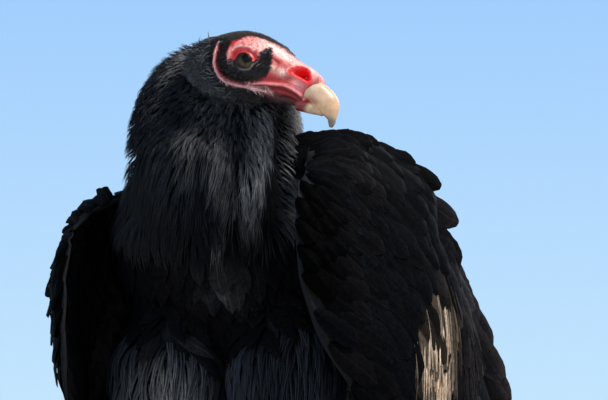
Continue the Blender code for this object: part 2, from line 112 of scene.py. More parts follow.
# Where the horn of the bill meets the skin: height, and how far forward.
HORN_LINE = np.array([
    (-24, 42), (-15.5, 41.8), (-13.8, 42.6), (-9.7, 44.0), (-6.2, 46.4), (-3.3, 48.6), (0, 49.8),
    (4, 50.6),
])

# ---- lines on the face, forward and up from the eyes, the same on both sides
FOLD = [
    (-14.5, 8), (-15.5, 3), (-15.6, -2), (-14.9, -8.7), (-13.1, -12.3), (-9.8, -15.9), (-5.6, -17.6),
    (0, -18), (6, -17.6), (12.5, -17.2), (18, -16.4),
]
FOLD_GROOVE = [
    (-13.3, 3), (-13.4, -2), (-12.7, -7.9), (-11, -11), (-8, -14), (-4.6, -15.4), (0, -15.8), (6, -15.4),
]
LIP = [
    (7, -15.6), (12, -14.8), (17, -13.2), (22.8, -12), (29.6, -10.6), (34.7, -11.4), (39.2, -13),
    (43.5, -15),
]
GAPE = [(10, -17), (17, -15.2), (23, -14), (29.6, -12.8), (34.7, -13.6), (39.2, -15.2), (45, -17.4)]
BROW = [(-5, 5.5), (1, 7.2), (7, 6.4), (12.5, 3.4)]
CULMEN = [(10, 11), (17, 10.4), (24, 9.4), (31, 6.8), (38, 4.6), (45, 2.0)]
SLIT = [(19.8, 3.2), (22.8, 1.8)]
STREAK = [(20.5, -2.2), (24, -2.8), (27.4, -3.2)]
CHEEK_CREASE = [(12, -12.6), (19, -9.6), (27, -8.2)]
MOUTH_FRINGE = [(9, -17.0), (14, -16.2), (20, -14.8)]
ABOVE_EYE = [
    (-5, 3), (-3, 8), (-1, 11.6), (2.5, 14.6), (8, 15.6), (13, 13), (13.4, 8.5), (11.5, 3), (5, 4),
]
DARK_SKIN = [
    (-7.8, 6), (-12.9, 5), (-13.6, -2), (-12.9, -8.3), (-11, -11.6), (-8, -14.4), (-4.8, -16.0),
    (0, -16.4), (6, -15.8), (11, -13.9), (16.0, -10.6), (19.0, -6.6), (19.8, -2.6), (18.8, 2), (18.4, 5.6),
    (16.6, 9.4), (13.6, 7.6), (12.6, 3.6), (12.4, 0.6), (10.4, -2.0), (7, -4), (1, -4.6), (-2.2, -3.4),
    (-4.6, -4.4), (-5.4, -7.4), (-7.0, -5.6), (-8.0, -2), (-8.4, 3),
]
COLLAR = [(-21, 14), (-18.5, 0), (-17, -8), (-13.5, -14.5), (-8, -19.5), (1, -23), (6, -25)]
CLEAR_OF_HOOD = [*COLLAR, (60, -26), (60, 24), (-21, 24)]  # COLLAR is the hood's front edge
RING_TAIL = [(-6.3, 3.0), (-6.9, -1.2), (-6.2, -4.4), (-4.8, -7.2)]
FACE = [*FOLD, (20, -14.4), (20, 14), (-14, 14)]
CROWN_LINE = np.array([
    (-34, -9), (-20, 4), (-12, 5), (-8, 7.0), (-3, 10.6), (1, 14.2), (6, 15.8), (12, 15.0), (18, 13.6),
    (24, 12.4), (32, 11.6),
])

# ---- wings: the outer surface is laid out along an axis that falls to the back. Rows:
# (along, inner edge, widest line, lower edge, rise to the top, drop to the lower edge)
WING_FALL = 32.0
WING_FRONT = np.array([0.0, -55.0, 300.0])
WING = np.array([
    (-40, 80, 83, 79, 6, 8), (-34, 75, 93, 80, 29, 32), (-18, 67, 105, 84, 58, 60),
    (10, 54, 119, 92, 82, 84), (50, 40, 134, 102, 94, 98), (115, 30, 144, 116, 88, 94),
    (200, 38, 145, 128, 70, 80), (300, 50, 131, 122, 47, 58), (400, 60, 106, 101, 24, 34),
    (455, 72, 90, 88, 11, 17),
])
BOXINESS = 4.0
SHOULDER = np.array([48.0, -80.0, 335.0])
# Each wing's side, swing, spread, and how far it is moved outwards and up.
WINGS = {"l": (1, 0.5, 0.0, 0.0, 4.0), "r": (-1, -4.5, -1.5, -3.0, -23.0)}
# How thick the arm is, place by place along the wing.
ARM_THICK = np.array([(-40, 4), (-25, 8), (0, 11), (22, 11), (58, 3.2)])

# ---- tail
TAIL_ROOT, TAIL_FALL, TAIL_SPREAD = np.array([0.0, 171.0, 191.0]), 29.0, 11.0
TAIL_LENGTH, TAIL_FEATHERS = 205.0, 12
TAIL_HALF_ROOT, TAIL_ARCH, TAIL_DROOP = 24.0, 5.0, 9.0
TAIL_TIP = [(0, 0.4), (0.2, 0.8), (0.75, 1.0), (0.9, 0.95), (0.97, 0.7), (1, 0.12)]
TAIL_PALER, TAIL_EDGE_PALER = 2.2, 3.5

# ---- feet, for the left side
SHIN = np.array([
    (50, 39.6, 76, 6.6, 7.8, 7.8), (50, 38, 66, 6.2, 7.2, 7.0), (50, 33, 52, 4.6, 5.2, 5.2),
    (50.5, 27.5, 34, 4.6, 5.2, 5.2), (51, 22, 14, 6.4, 6.4, 6.4),
])
FOOT_AT, HUB_R = np.array([51.0, 19.0, 7.5]), 9.5
# Each toe's turn from straight ahead, length, radius, and the length of its claw.
TOES = {
    "inner": (-30, 43, 5.0, 13), "middle": (4, 60, 5.4, 15), "outer": (34, 47, 4.8, 12),
    "hind": (196, 21, 4.6, 11),
}

# ---- colours, linear
RED = (0.51, 0.031, 0.032)
DEEP_RED = (0.36, 0.018, 0.018)
BRIGHT_RED = (0.90, 0.008, 0.012)
PINK = (0.86, 0.30, 0.27)
PALE_PINK = (0.95, 0.66, 0.58)
MAUVE = (0.55, 0.20, 0.23)
# The jaw's dark red, deepened with painted shade.
SHADED_JAW_RED = (0.075, 0.009, 0.010)
DARK = (0.010, 0.007, 0.007)
FUZZ_SKIN = (0.012, 0.0088, 0.0078)
BODY_SKIN = (0.006, 0.006, 0.007)
LEG_PALE = (0.50, 0.40, 0.37)
BLACK = (0.0022, 0.0023, 0.0030)
SILK = (0.0080, 0.0090, 0.0115)
WING_GLOSS = (0.0034, 0.0037, 0.0050)
# The pale grey of faded feathers, used also as a painted highlight on the coat's lit tufts and lobes.
FADED_AND_LIT = (0.098, 0.094, 0.092)
BROWN = (0.0036, 0.0028, 0.0025)
EDGE_BROWN = (0.0070, 0.0054, 0.0046)
TAN = (0.70, 0.52, 0.37)
# The grey of the left shoulder's front: partly greyer feathers, partly a painted highlight on the wing's
# lit top.
LIT_FRONT_GREY, LIT_FRONT_GREY_EDGE = (0.008, 0.008, 0.009), (0.022, 0.020, 0.021)
STREAK_PINK = (0.95, 0.70, 0.56)
LEG_DARK = (0.30, 0.20, 0.18)
PUPIL, IRIS, EYE_RIM = (0.002, 0.002, 0.002), (0.050, 0.034, 0.014), (0.03, 0.012, 0.010)
UPPER_HORN = (0.52, 0.34, 0.215), (0.65, 0.46, 0.315)
LOWER_HORN = (0.54, 0.33, 0.19), (0.66, 0.45, 0.27)
AMBER, HORN_EDGE, HORN_RED = (0.70, 0.40, 0.20), (0.58, 0.34, 0.18), (0.34, 0.09, 0.06)
HOOK_GREY, LOWER_ROOT = (0.13, 0.11, 0.10), (0.20, 0.025, 0.022)
CLAW_DARK, CLAW_PALE = (0.045, 0.038, 0.034), (0.12, 0.10, 0.085)


# ---------------------------------------------------------------- small tools


def smooth(rows, at):
    """Rows of numbers read at the places `at`, counted in rows, on a smooth curve."""
    last = len(rows) - 1
    at = np.clip(np.asarray(at, float), 0, last)
    i = np.minimum(at.astype(int), last - 1)
    t = (at - i)[..., None]
    before, after = rows[np.maximum(i - 1, 0)], rows[np.minimum(i + 2, last)]
    a, b = rows[i], rows[i + 1]
    return 0.5 * (
        2 * a
        + (b - before) * t
        + (2 * before - 5 * a + 4 * b - after) * t**2
        + (3 * a - before - 3 * b + after) * t**3
    )


def unit(v):
    """The vectors at length 1."""
    return v / np.maximum(np.linalg.norm(v, axis=-1, keepdims=True), 1e-12)


def step(low, high, value):
    """0 below low, 1 above high, and smooth between them."""
    t = np.clip((value - low) / (high - low), 0, 1)
    return t * t * (3 - 2 * t)


def dot(a, b):
    """The vectors' dot products."""
    return np.sum(a * b, axis=-1, keepdims=True)


def mixed(one, two, share):
    """From one colour at share 0 to the other at 1."""
    return np.asarray(one) * (1 - share[..., None]) + np.asarray(two) * share[..., None]


def read_line(line, at):
    """The second number of a table of pairs, read where the first is `at`."""
    return np.interp(at, line[:, 0], line[:, 1])


def round_share(angle):
    """An angle as a share of the full round, from 0 to 1."""
    return angle / (2 * math.pi) % 1


def ring_angles(count):
    """Even angles for a ring of points."""
    return np.arange(count) * 2 * math.pi / count


def flat_on(vectors, normals):
    """The vectors' parts in the surface, at unit length."""
    return unit(vectors - normals * dot(vectors, normals))


def line_distance(x, y, line):
    """How far each point is from a line of several stretches."""
    nearest = np.full(np.shape(x), 1e9)
    for (x0, y0), (x1, y1) in zip(line, line[1:]):
        dx, dy = x1 - x0, y1 - y0
        t = np.clip(((x - x0) * dx + (y - y0) * dy) / (dx * dx + dy * dy), 0, 1)
        nearest = np.minimum(nearest, np.hypot(x - x0 - t * dx, y - y0 - t * dy))
    return nearest


def inside(x, y, corners):
    """Distance into a closed outline: positive inside it, negative outside."""
    ring = corners + corners[:1]
    odd = np.zeros(np.shape(x), bool)
    for (x0, y0), (x1, y1) in zip(ring, ring[1:]):
        if y0 != y1:
            odd ^= ((y0 > y) != (y1 > y)) & (x < (x1 - x0) * (y - y0) / (y1 - y0) + x0)
    return np.where(odd, 1, -1) * line_distance(x, y, ring)


def bump(distance, width):
    """1 where the distance is 0, falling softly over the width."""
    return np.exp(-((distance / width) ** 2))


def ripple(points, seed, size, octaves=2):
    """A smooth random field from -1 to 1, of waves about `size` long."""
    rng = np.random.default_rng(seed)
    total, weight = 0, 0
    for octave in range(octaves):
        for _ in range(5):
            direction = unit(rng.normal(size=3)) * (2 * math.pi / size) * 1.9**octave
            share = 0.6**octave
            total = total + np.sin(points @ direction + rng.uniform(0, 6.28)) * share
            weight += share
    return total / weight * 1.6


# ------------------------------------------------------------- meshes and uvs


def new_object(name, data):
    """An object, put into the scene."""
    obj = bpy.data.objects.new(name, data)
    bpy.context.scene.collection.objects.link(obj)
    return obj


def fill(data, key, values):
    """Writes numbers into a mesh's points, colours or unwrap."""
    data.foreach_set(key, np.asarray(values, np.float32).ravel())


def add_mesh(name, points, quads, triangles, materials, tint, uv, vane=None, kinds=None):
    """A mesh object from arrays, with a colour on each point and an unwrap."""
    mesh = bpy.data.meshes.new(name)
    quads = np.asarray(quads, np.int32).reshape(-1, 4)
    triangles = np.asarray(triangles, np.int32).reshape(-1, 3)
    loops = np.concatenate([quads.ravel(), triangles.ravel()])
    after_quads = quads.size + np.arange(len(triangles)) * 3
    starts = np.concatenate([np.arange(len(quads)) * 4, after_quads]).astype(np.int32)
    mesh.vertices.add(len(points))
    fill(mesh.vertices, "co", (points - CENTRE) * MM)
    mesh.loops.add(len(loops))
    mesh.loops.foreach_set("vertex_index", loops)
    mesh.polygons.add(len(starts))
    mesh.polygons.foreach_set("loop_start", starts)
    if kinds is not None:
        mesh.polygons.foreach_set("material_index", kinds.astype(np.int32))
    mesh.update(calc_edges=True)
    colours = np.concatenate([np.clip(tint, 0, 1), np.ones((len(tint), 1))], axis=1)
    fill(mesh.attributes.new("tint", "FLOAT_COLOR", "POINT").data, "color", colours)
    if vane is not None:
        fill(mesh.attributes.new("vane", "FLOAT_VECTOR", "POINT").data, "vector", vane)
    on_loops = uv if len(uv) == len(loops) else uv[loops]
    fill(mesh.uv_layers.new(name="OFBake").data, "uv", on_loops)
    for material in materials:
        mesh.materials.append(material)
    obj = new_object(name, mesh)
    mesh.shade_smooth()
    return obj


def joined(points, *kinds):
    """Several parts' points in one array, and each kind of their faces renumbered to it."""
    offsets = np.cumsum([0, *map(len, points)])
    faces = (np.concatenate([part + start for part, start in zip(kind, offsets)]) for kind in kinds)
    return np.concatenate(points), *faces


def grid_faces(rows, columns, closed=False):
    """Quads over a grid of points; closed joins the last column to the first."""
    r, c = np.meshgrid(np.arange(rows - 1), np.arange(columns - (not closed)), indexing="ij")
    row, after = r * columns, (c + 1) % columns
    corners = [row + c, row + after, row + columns + after, row + columns + c]
    return np.stack(corners, -1).reshape(-1, 4)


def fan(ring, middle, flip=False):
    """Triangles from a ring of point numbers to one middle point."""
    ring = np.asarray(ring)
    after = np.roll(ring, -1)
    middles = np.full_like(ring, middle)
    return np.stack([after, ring, middles] if flip else [ring, after, middles], -1)


def end_fans(rings, count, middle):
    """Triangles that close a tube's two ends on the points numbered `middle` and the next."""
    first = np.arange(count)
    ends = fan(first, middle, flip=True), fan((rings - 1) * count + first, middle + 1)
    return np.concatenate(ends)


def seam_uvs(quads, triangles, u, v, box=WHOLE_MAP):
    """Loop UVs for an unwrap whose u runs round from 0 to 1, put into a box of the map."""
    found = []
    for faces in (quads, triangles):
        if len(faces):
            across = u[faces]
            wraps = across.max(axis=1, keepdims=True) - across.min(axis=1, keepdims=True) > 0.5
            across = np.where(wraps & (across < 0.5), across + 1, across)
            found.append(np.stack([across.ravel() * 0.97, v[faces].ravel()], -1))
    low_u, low_v, wide, high = box
    return np.concatenate(found) * (wide * 0.96, high * 0.96) + (low_u + 0.01, low_v + 0.01)


def along_axis(points, rows, sign=1.0):
    """Where points lie along a table of rows: place, heading, turn round it, share of its radius."""
    at_once = 4000
    rows = rows * np.array([sign, 1, 1, 1, 1, 1])
    places = np.linspace(0, len(rows) - 1, 90)
    read = smooth(rows, places)
    middle = read[:, :3]
    heading = unit(np.gradient(middle, axis=0))
    up = unit(np.cross((1.0, 0, 0), heading))
    share = np.full(len(points), 1e9)
    best = np.zeros(len(points), int)
    for start in range(0, len(points), at_once):
        rows_now = slice(start, start + at_once)
        part = points[rows_now, None] - middle[None]
        ahead = np.einsum("pmi,mi->pm", part, heading)
        gap = np.linalg.norm(part, axis=2) / read[:, 3] + np.abs(ahead) / read[:, 3]
        best[rows_now] = gap.argmin(axis=1)
        share[rows_now] = gap.min(axis=1)
    off = points - middle[best]
    turn = np.arctan2(np.sum(off * up[best], axis=1), off[:, 0])
    return places[best], heading[best], turn, share


# ------------------------------------------------------------------- feathers


def prism_faces(count, rings, sides):
    """Quads and end triangles of `count` closed prisms of several rings."""
    first = np.arange(count)[:, None, None] * rings * sides
    fans = np.array([(0, i + 1, i) for i in range(1, sides - 1)])
    ends = np.concatenate([fans, (rings - 1) * sides + fans[:, [0, 2, 1]]])
    quads = grid_faces(rings, sides, closed=True)
    return (first + quads).reshape(-1, 4), (first + ends).reshape(-1, 3)


# Cross-sections of feathers: (across, share of the camber, share of the thickness).
VANE_3 = np.array([(-1, 0, 0), (0, 0, 1), (1, 0, 0)], float)
VANE_6 = np.array([
    (-1, 0, 0), (-0.5, 0.75, 0.5), (0, 1, 1.2), (0.5, 0.75, 0.5), (1, 0, 0), (0, 1, -0.6),
], float)


def vanes(spine, normal, half, thick, camber, section):
    """Points of closed feathers round their middle lines, one ring at each place."""
    tangent = unit(np.gradient(spine, axis=1))
    side = unit(np.cross(tangent, normal))
    up = np.cross(side, tangent)
    across = half[..., None] * section[:, 0]
    rise = camber[..., None] * section[:, 1] + thick[..., None] * section[:, 2]
    return spine[:, :, None] + side[:, :, None] * across[..., None] + up[:, :, None] * rise[..., None]


def feathers(spine, normal, half, thick, camber, tint, edge, at_uv, lengths, patch, section):
    """Closed feathers' points, quads, triangles, colours, place on the vane, and unwrap."""
    count, rings = spine.shape[:2]
    sides = len(section)
    points = vanes(spine, normal, half, thick, camber, section)
    share = np.linspace(0, 1, rings)[None, :, None]
    across = np.broadcast_to(section[:, 0], (count, rings, sides))
    ahead = np.broadcast_to(share, across.shape)
    rim = np.clip(across**2 * 0.75 + step(0.8, 1.0, share) * 0.6, 0, 1)[..., None]
    colours = tint[:, None, None] * (1 - rim) + edge[:, None, None] * rim
    # Each feather is painted darker towards its root: painted shade where it lies under the feathers
    # before it.
    colours = colours * (0.72 + 0.28 * step(0.0, 0.55, share))[..., None]
    vane = np.stack([across * half[..., None], ahead * lengths[:, None, None], ahead], -1)
    spread = np.stack([across * 0.5, ahead - 0.5], -1)
    uv = at_uv[:, None, None] + spread * patch[:, None, None]
    quads, triangles = prism_faces(count, rings, sides)
    flat = (values.reshape(-1, values.shape[-1]) for values in (points, colours, vane, uv))
    points, colours, vane, uv = flat
    return points, quads, triangles, colours, vane, uv


class Coat:
    """Feathers gathered for one part of the coat, made into pieces at the end."""

    def __init__(self, name, material, slot, replaces=()):
        self.name, self.material, self.slot, self.replaced = name, material, slot, replaces
        self.parts = []

    def add(self, spine, normal, half, thick, camber, section, tint, edge, at_uv, lengths, patch=PATCH):
        """`tint` and `edge` are each feather's colours in its middle and at its rim."""
        count, rings = spine.shape[:2]
        most = MOST_AT_ONCE // (2 * rings * len(section))
        thick, camber = (np.broadcast_to(value, half.shape) for value in (thick, camber))
        patch = np.broadcast_to(patch, at_uv.shape)
        values = (spine, normal, half, thick, camber, tint, edge, at_uv, lengths, patch)
        for rows in np.array_split(np.arange(count), count // most + 1 if count > most else 1):
            self.parts.append(feathers(*(value[rows] for value in values), section))

    def pieces(self):
        """The parts in groups that each stay below the most triangles."""
        groups, total = [[]], 0
        for part in self.parts:
            size = len(part[1]) * 2 + len(part[2])
            if groups[-1] and total + size > MOST_TRIANGLES:
                groups.append([])
                total = 0
            groups[-1].append(part)
            total += size
        return groups

    def build(self):
        """Makes the pieces; the first one takes the solids' place."""
        pieces = self.pieces()
        for number, piece in enumerate(pieces):
            name = self.name if len(pieces) == 1 else f"{self.name}_{number + 1}"
            points, quads, triangles, *looks = zip(*piece)
            colours, vane, uv = (np.concatenate(look) for look in looks)
            obj = add_mesh(name, *joined(points, quads, triangles), [self.material], colours, uv, vane)
            obj.data.set_sharp_from_angle(angle=SHARP_ANGLE)
            settle(obj, self.slot, self.replaced if number == 0 else ())


def settle(obj, slot, replaced=()):
    """Puts a finished piece on the body, in place of its solids; its slot is not used."""
    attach(obj, "root")
    if len(replaced):
        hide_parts(*replaced)


def tapered(rings, profile):
    """A half width for each ring from (share, width) pairs."""
    profile = np.asarray(profile, float)
    return np.interp(np.linspace(0, 1, rings), profile[:, 0], profile[:, 1])


ROUND_TIP = [(0, 0.30), (0.2, 0.75), (0.5, 1.0), (0.78, 1.0), (0.9, 0.84), (0.96, 0.6), (1, 0.26)]
SOFT_TIP = [(0, 0.35), (0.3, 0.9), (0.55, 1.0), (0.8, 0.72), (0.93, 0.38), (1, 0.05)]
FLIGHT_TIP = [(0, 0.35), (0.15, 0.8), (0.5, 1), (0.8, 0.95), (0.93, 0.72), (0.985, 0.35), (1, 0.05)]
HAIR_TIP = [(0, 0.8), (0.3, 1.0), (0.7, 0.65), (1, 0.04)]


# ----------------------------------------------------------------- the wings


def wing_surface(along, across, inset=0.0):
    """The left wing's outer surface before it hangs from its shoulder. `across` goes
    from 0 at the inner top edge over 0.5 at the widest line to 1 at the lower edge."""
    along, across = np.broadcast_arrays(np.asarray(along, float), np.asarray(across, float))
    place = np.interp(along, WING[:, 0], np.arange(len(WING)))
    _, inner, widest, lower, rise, drop = np.moveaxis(smooth(WING, place), -1, 0)
    angle = np.clip(across * 2, 0, 1) * math.pi / 2
    reach = (np.sin(angle) ** BOXINESS + np.cos(angle) ** BOXINESS) ** (-1 / BOXINESS)
    top_x = inner + (widest - inner) * np.sin(angle) * reach
    top_h = rise * np.cos(angle) * reach
    low = np.clip(across * 2 - 1, 0, 1)
    x = np.where(across <= 0.5, top_x, widest + (lower - widest) * low**1.6)
    h = np.where(across <= 0.5, top_h, -drop * low)
    fall = math.radians(WING_FALL)
    points = np.stack(
        [
            x,
            WING_FRONT[1] + along * math.cos(fall) + h * math.sin(fall),
            WING_FRONT[2] - along * math.sin(fall) + h * math.cos(fall),
        ],
        axis=-1,
    )
    if np.any(inset):
        points = points - wing_normal(along, across) * np.asarray(inset)[..., None]
    return points


def wing_normal(along, across):
    """The direction out of the wing's outer surface."""
    step_a, step_c = 4.0, 0.03
    da = wing_surface(along + step_a, across) - wing_surface(along - step_a, across)
    high, low = np.clip(across + step_c, 0.001, 1), np.clip(across - step_c, 0.001, 1)
    return unit(np.cross(wing_surface(along, high) - wing_surface(along, low), da))


def hung(points, side, vectors=False):
    """The wing's points, or directions, swung about its shoulder to its own side."""
    sign, swing, spread, outwards, lift = WINGS[side]
    swing, spread = math.radians(swing), math.radians(spread)
    arm = points if vectors else points - SHOULDER
    x = arm[..., 0] * math.cos(spread) - arm[..., 2] * math.sin(spread)
    z = arm[..., 0] * math.sin(spread) + arm[..., 2] * math.cos(spread)
    y = arm[..., 1] * math.cos(swing) - x * math.sin(swing)
    x = x * math.cos(swing) + arm[..., 1] * math.sin(swing)
    placed = np.stack([x, y, z], axis=-1)
    if not vectors:
        placed = placed + (outwards, 0, lift) + SHOULDER
    return placed * (sign, 1, 1)


def heading_on_wing(along, across):
    """Which way the feathers lie, in radians from straight along the wing."""
    over = np.interp(across, (0, 0.15, 0.35, 0.5, 0.7, 1.0), (40, 34, 20, 8, -8, -24))
    over = over * (1 - 0.85 * step(30, 120, along))
    hanging = step(40, 85, along) * (1 - step(130, 190, along))
    hanging = hanging * step(0.36, 0.55, across) * (1 - step(0.85, 1, across))
    return np.radians(over + 30 * hanging)


# Hollows of the wing's coat between its big feathers: along and across the wing, how far
# each reaches along and across, and its depth.
HOLLOWS = {
    "l": [
        (12, 0.25, 26, 0.15, 6.5), (66, 0.27, 12, 0.12, 12.0), (112, 0.30, 30, 0.14, 8.5),
        (160, 0.32, 40, 0.14, 5.0), (212, 0.34, 40, 0.12, 2.5),
    ],
    "r": [(-10, 0.42, 36, 0.22, 5.0), (44, 0.74, 40, 0.24, 14.0), (150, 0.58, 70, 0.35, 11.0)],
}


def hollow(side, along, across):
    """How deep the wing's coat is sunk."""
    total = np.zeros(np.shape(along))
    for at, over, reach, spread, depth in HOLLOWS[side]:
        total = total + depth * bump(np.hypot((along - at) / reach, (across - over) / spread), 1.0)
    return total


def wing_pace(along, across):
    """How far one step of `along`, and one of `across`, goes over the wing."""
    ahead = wing_surface(along + 1.0, across) - wing_surface(along, across)
    upper, lower = np.minimum(across + 0.01, 1), np.maximum(across - 0.01, 0)
    aside = wing_surface(along, upper) - wing_surface(along, lower)
    ahead, aside = (np.linalg.norm(way, axis=-1) for way in (ahead, aside))
    return np.maximum(ahead, 0.9), np.maximum(aside / 0.02, 12)


def wing_rows(rng, lines, reach):
    """Roots of feathers in staggered rows over the wing: each line says where it runs, and
    its feathers' length and half width."""
    found = []
    places = np.linspace(*reach, 60)
    for number, (along, length, half) in enumerate(lines):
        ring = wing_surface(along, places)
        arc = np.concatenate([[0], np.cumsum(np.linalg.norm(np.diff(ring, axis=0), axis=1))])
        count = max(4, int(arc[-1] / (half * 1.3)))
        at = (np.arange(count) + 0.5 * (number % 2) + 0.25) / count
        at = np.clip(at + rng.uniform(-0.14, 0.14, count) / count, 0.0, 1.0)
        across = np.interp(at * arc[-1], arc, places)
        size = rng.uniform(0.88, 1.14, count)
        pace, _ = wing_pace(np.full(count, along), across)
        start = np.maximum(along + rng.uniform(-1.6, 1.6, count) / pace, WING[0, 0])
        found.append(np.stack([start, across, length * size, half * size], -1))
    return np.concatenate(found)


COVERT_PLACES = (-40, -20, 10, 40, 76)  # along the wing, with the coverts' length and half width
COVERT_SIZES = (20, 28, 42, 54, 66), (4.0, 5.6, 7.6, 8.6, 9.4)
COVERTS_TO = 76  # along the wing, where their last row may start


def covert_lines():
    """Rows of coverts from the wing's nose back: where each runs, its length and half width."""
    lines, along = [], WING[0, 0]
    while along < COVERTS_TO:
        length, half = (float(np.interp(along, COVERT_PLACES, sizes)) for sizes in COVERT_SIZES)
        lines.append((along, length, half))
        pace, _ = wing_pace(np.full(9, along), np.linspace(0.1, 0.9, 9))
        along += 0.30 * length / float(pace.mean())
    return lines


def roots_of(tips, turn=0.0):
    """Roots for feathers that are given by where their tips lie, their length and half width."""
    along, across, length = tips[:, 0].copy(), tips[:, 1].copy(), tips[:, 3]
    for _ in range(8):
        heading = heading_on_wing(along, across) + turn
        pace, width = wing_pace(along, across)
        across = np.clip(across - np.sin(heading) * length / 8 / width, 0.01, 0.99)
        along = np.maximum(along - np.cos(heading) * length / 8 / pace, WING[0, 0])
    return np.stack([along, across, length, tips[:, 4]], -1)


def wing_lines(roots, rings, turn, root_inset, tip_inset, side, lift=1.0, inner=False, sunk=True):
    """Middle lines over the wing, and the directions away from it, of feathers."""
    along, across, length = roots[:, 0].copy(), roots[:, 1].copy(), roots[:, 2]
    shares = np.linspace(0, 1, rings)
    lines, normals = [], []
    for number, share in enumerate(shares):
        deep = root_inset + (tip_inset - root_inset) * share**lift
        if inner:
            deep = np.maximum(deep, hollow(side, along, across) + 5.0)
        elif sunk:
            deep = deep + hollow(side, along, across)
        normal = wing_normal(along, across)
        lines.append(wing_surface(along, across) - normal * deep[:, None])
        normals.append(-normal if inner else normal)
        if number < rings - 1:
            heading = heading_on_wing(along, across) + turn
            stride = length * (shares[number + 1] - share)
            pace, width = wing_pace(along, across)
            along = along + np.cos(heading) * stride / pace
            across = np.clip(across + np.sin(heading) * stride / width, 0.0, 1.0)
    spine = hung(np.stack(lines, 1), side)
    normal = hung(np.stack(normals, 1), side, vectors=True)
    return spine, normal


def tilted(spine, normal, degrees):
    """The directions away from the wing, rolled about each feather so that its edges overlap."""
    side = unit(np.cross(unit(np.gradient(spine, axis=1)), normal))
    turn = math.radians(degrees)
    return normal * math.cos(turn) + side * math.sin(turn)


def wing_uv(roots):
    """Each feather's place on the map, by its root along and across the wing."""
    return np.stack([0.02 + 0.94 * (roots[:, 0] + 42) / 500, 0.02 + 0.94 * roots[:, 1]], -1)


LITTLE_WORN = 0.2  # most of the tan that an ordinary feather of the worn place has
# How much paler the right wing's feathers are painted: painted light for a wing that lies in shade.
RIGHT_WING_PAINTED_LIGHT = 2.2
WORN_AT, WORN_REACH = (134, 6, 224), (20, 24, 44)  # the left wing's worn place
# The greyer front of the left shoulder is partly a painted highlight where light falls on the top of the
# wing.
GREY_AT, GREY_REACH = (104, -52, 336), (26, 26, 12)  # the greyer front of its shoulder


def wing_tints(rng, spine, side, most_worn=LITTLE_WORN):
    """Each feather's colour: black with a blue gloss, browner to the back, worn tan in one place."""
    middle = spine[:, spine.shape[1] // 2]
    count = len(middle)
    brown = np.clip(rng.uniform(0, 0.4, count) + 0.3 * step(-20, 60, middle[:, 1]), 0, 1)
    tint = mixed(BLACK, BROWN, brown) * rng.uniform(0.7, 1.3, (count, 1))
    # Painted light: the right wing's feathers are made paler than the left's.
    if side == "r":
        tint = tint * RIGHT_WING_PAINTED_LIGHT
    edge = mixed(WING_GLOSS, EDGE_BROWN, brown) * rng.uniform(0.7, 1.3, (count, 1))
    # Feathers low at the front of the wing, under the hood, are made darker: a painted shade.
    shaded = 1 - 0.8 * step(-76, -88, middle[:, 1:2]) * (middle[:, 2:3] < 325)
    rear = step(10, 60, middle[:, 1:2])
    tint, edge = tint * shaded * (1 + 2 * rear), edge * shaded * (1 + 5 * rear)
    if side == "l":
        worn = bump(np.linalg.norm((middle - WORN_AT) / WORN_REACH, axis=1), 1.0)
        worn = np.clip(worn * 1.25 - 0.25, 0, 1)
        share = np.clip(worn * most_worn * rng.uniform(0.15 * most_worn, 1.1, count), 0, 1)
        tint, edge = mixed(tint, TAN, share), mixed(edge, TAN, np.clip(share * 1.3, 0, 1))
        # Partly greyer feathers and partly a painted highlight on the lit top of the shoulder.
        front = bump(np.linalg.norm((middle - GREY_AT) / GREY_REACH, axis=1), 1.0)
        grey = np.clip(front * rng.uniform(-0.5, 0.9, count), 0, 1)
        tint, edge = mixed(tint, LIT_FRONT_GREY, grey), mixed(edge, LIT_FRONT_GREY_EDGE, grey)
    return tint, edge


# Rows of the big coverts and of the scapulars: along the wing, length and half width.
GREATER_LINES = [(80, 76, 9.5), (92, 82, 10.0)]
SCAPULAR_LINES = [(-10, 38, 8.5), (4, 44, 9.5), (18, 50, 10.5), (32, 54, 11.0)]
# Big feathers that stand out of the outline: where the tip lies along and across the
# wing, how far it stands off, and the feather's length and half width.
PROUD = {
    "l": [
        (-8, 0.16, -1.0, 34, 7.5), (9, 0.22, -3.0, 44, 8.5), (27, 0.24, -1.5, 48, 8.5),
        (38, 0.255, 2.0, 50, 8.5), (57, 0.28, 6.0, 60, 8.5), (89, 0.28, 4.5, 62, 9.5),
        (101, 0.36, -6.0, 62, 12.0), (121, 0.30, -12.5, 64, 11.0), (147, 0.30, -11.0, 66, 10.0),
        (161, 0.32, -8.5, 66, 9.0), (185, 0.32, -5.0, 72, 8.5), (200, 0.38, -1.0, 76, 8.5),
        (214, 0.32, 0.0, 80, 7.5), (232, 0.335, 1.5, 84, 7.5), (246, 0.38, 1.0, 84, 8.0),
    ],
    "r": [
        (-16, 0.14, 3.0, 26, 6.5), (-10, 0.15, 4.0, 28, 6.5), (-20, 0.22, -2.0, 26, 6.0),
        (-30, 0.36, -1.5, 22, 6.0), (-8, 0.42, -1.0, 34, 7.0), (3, 0.45, 1.0, 40, 6.5),
        (7, 0.54, 1.5, 42, 6.5), (19, 0.60, -3.0, 42, 6.5),
    ],
}
PROUD_ROLL = 55  # degrees they are rolled, so that their flat side shows from the front
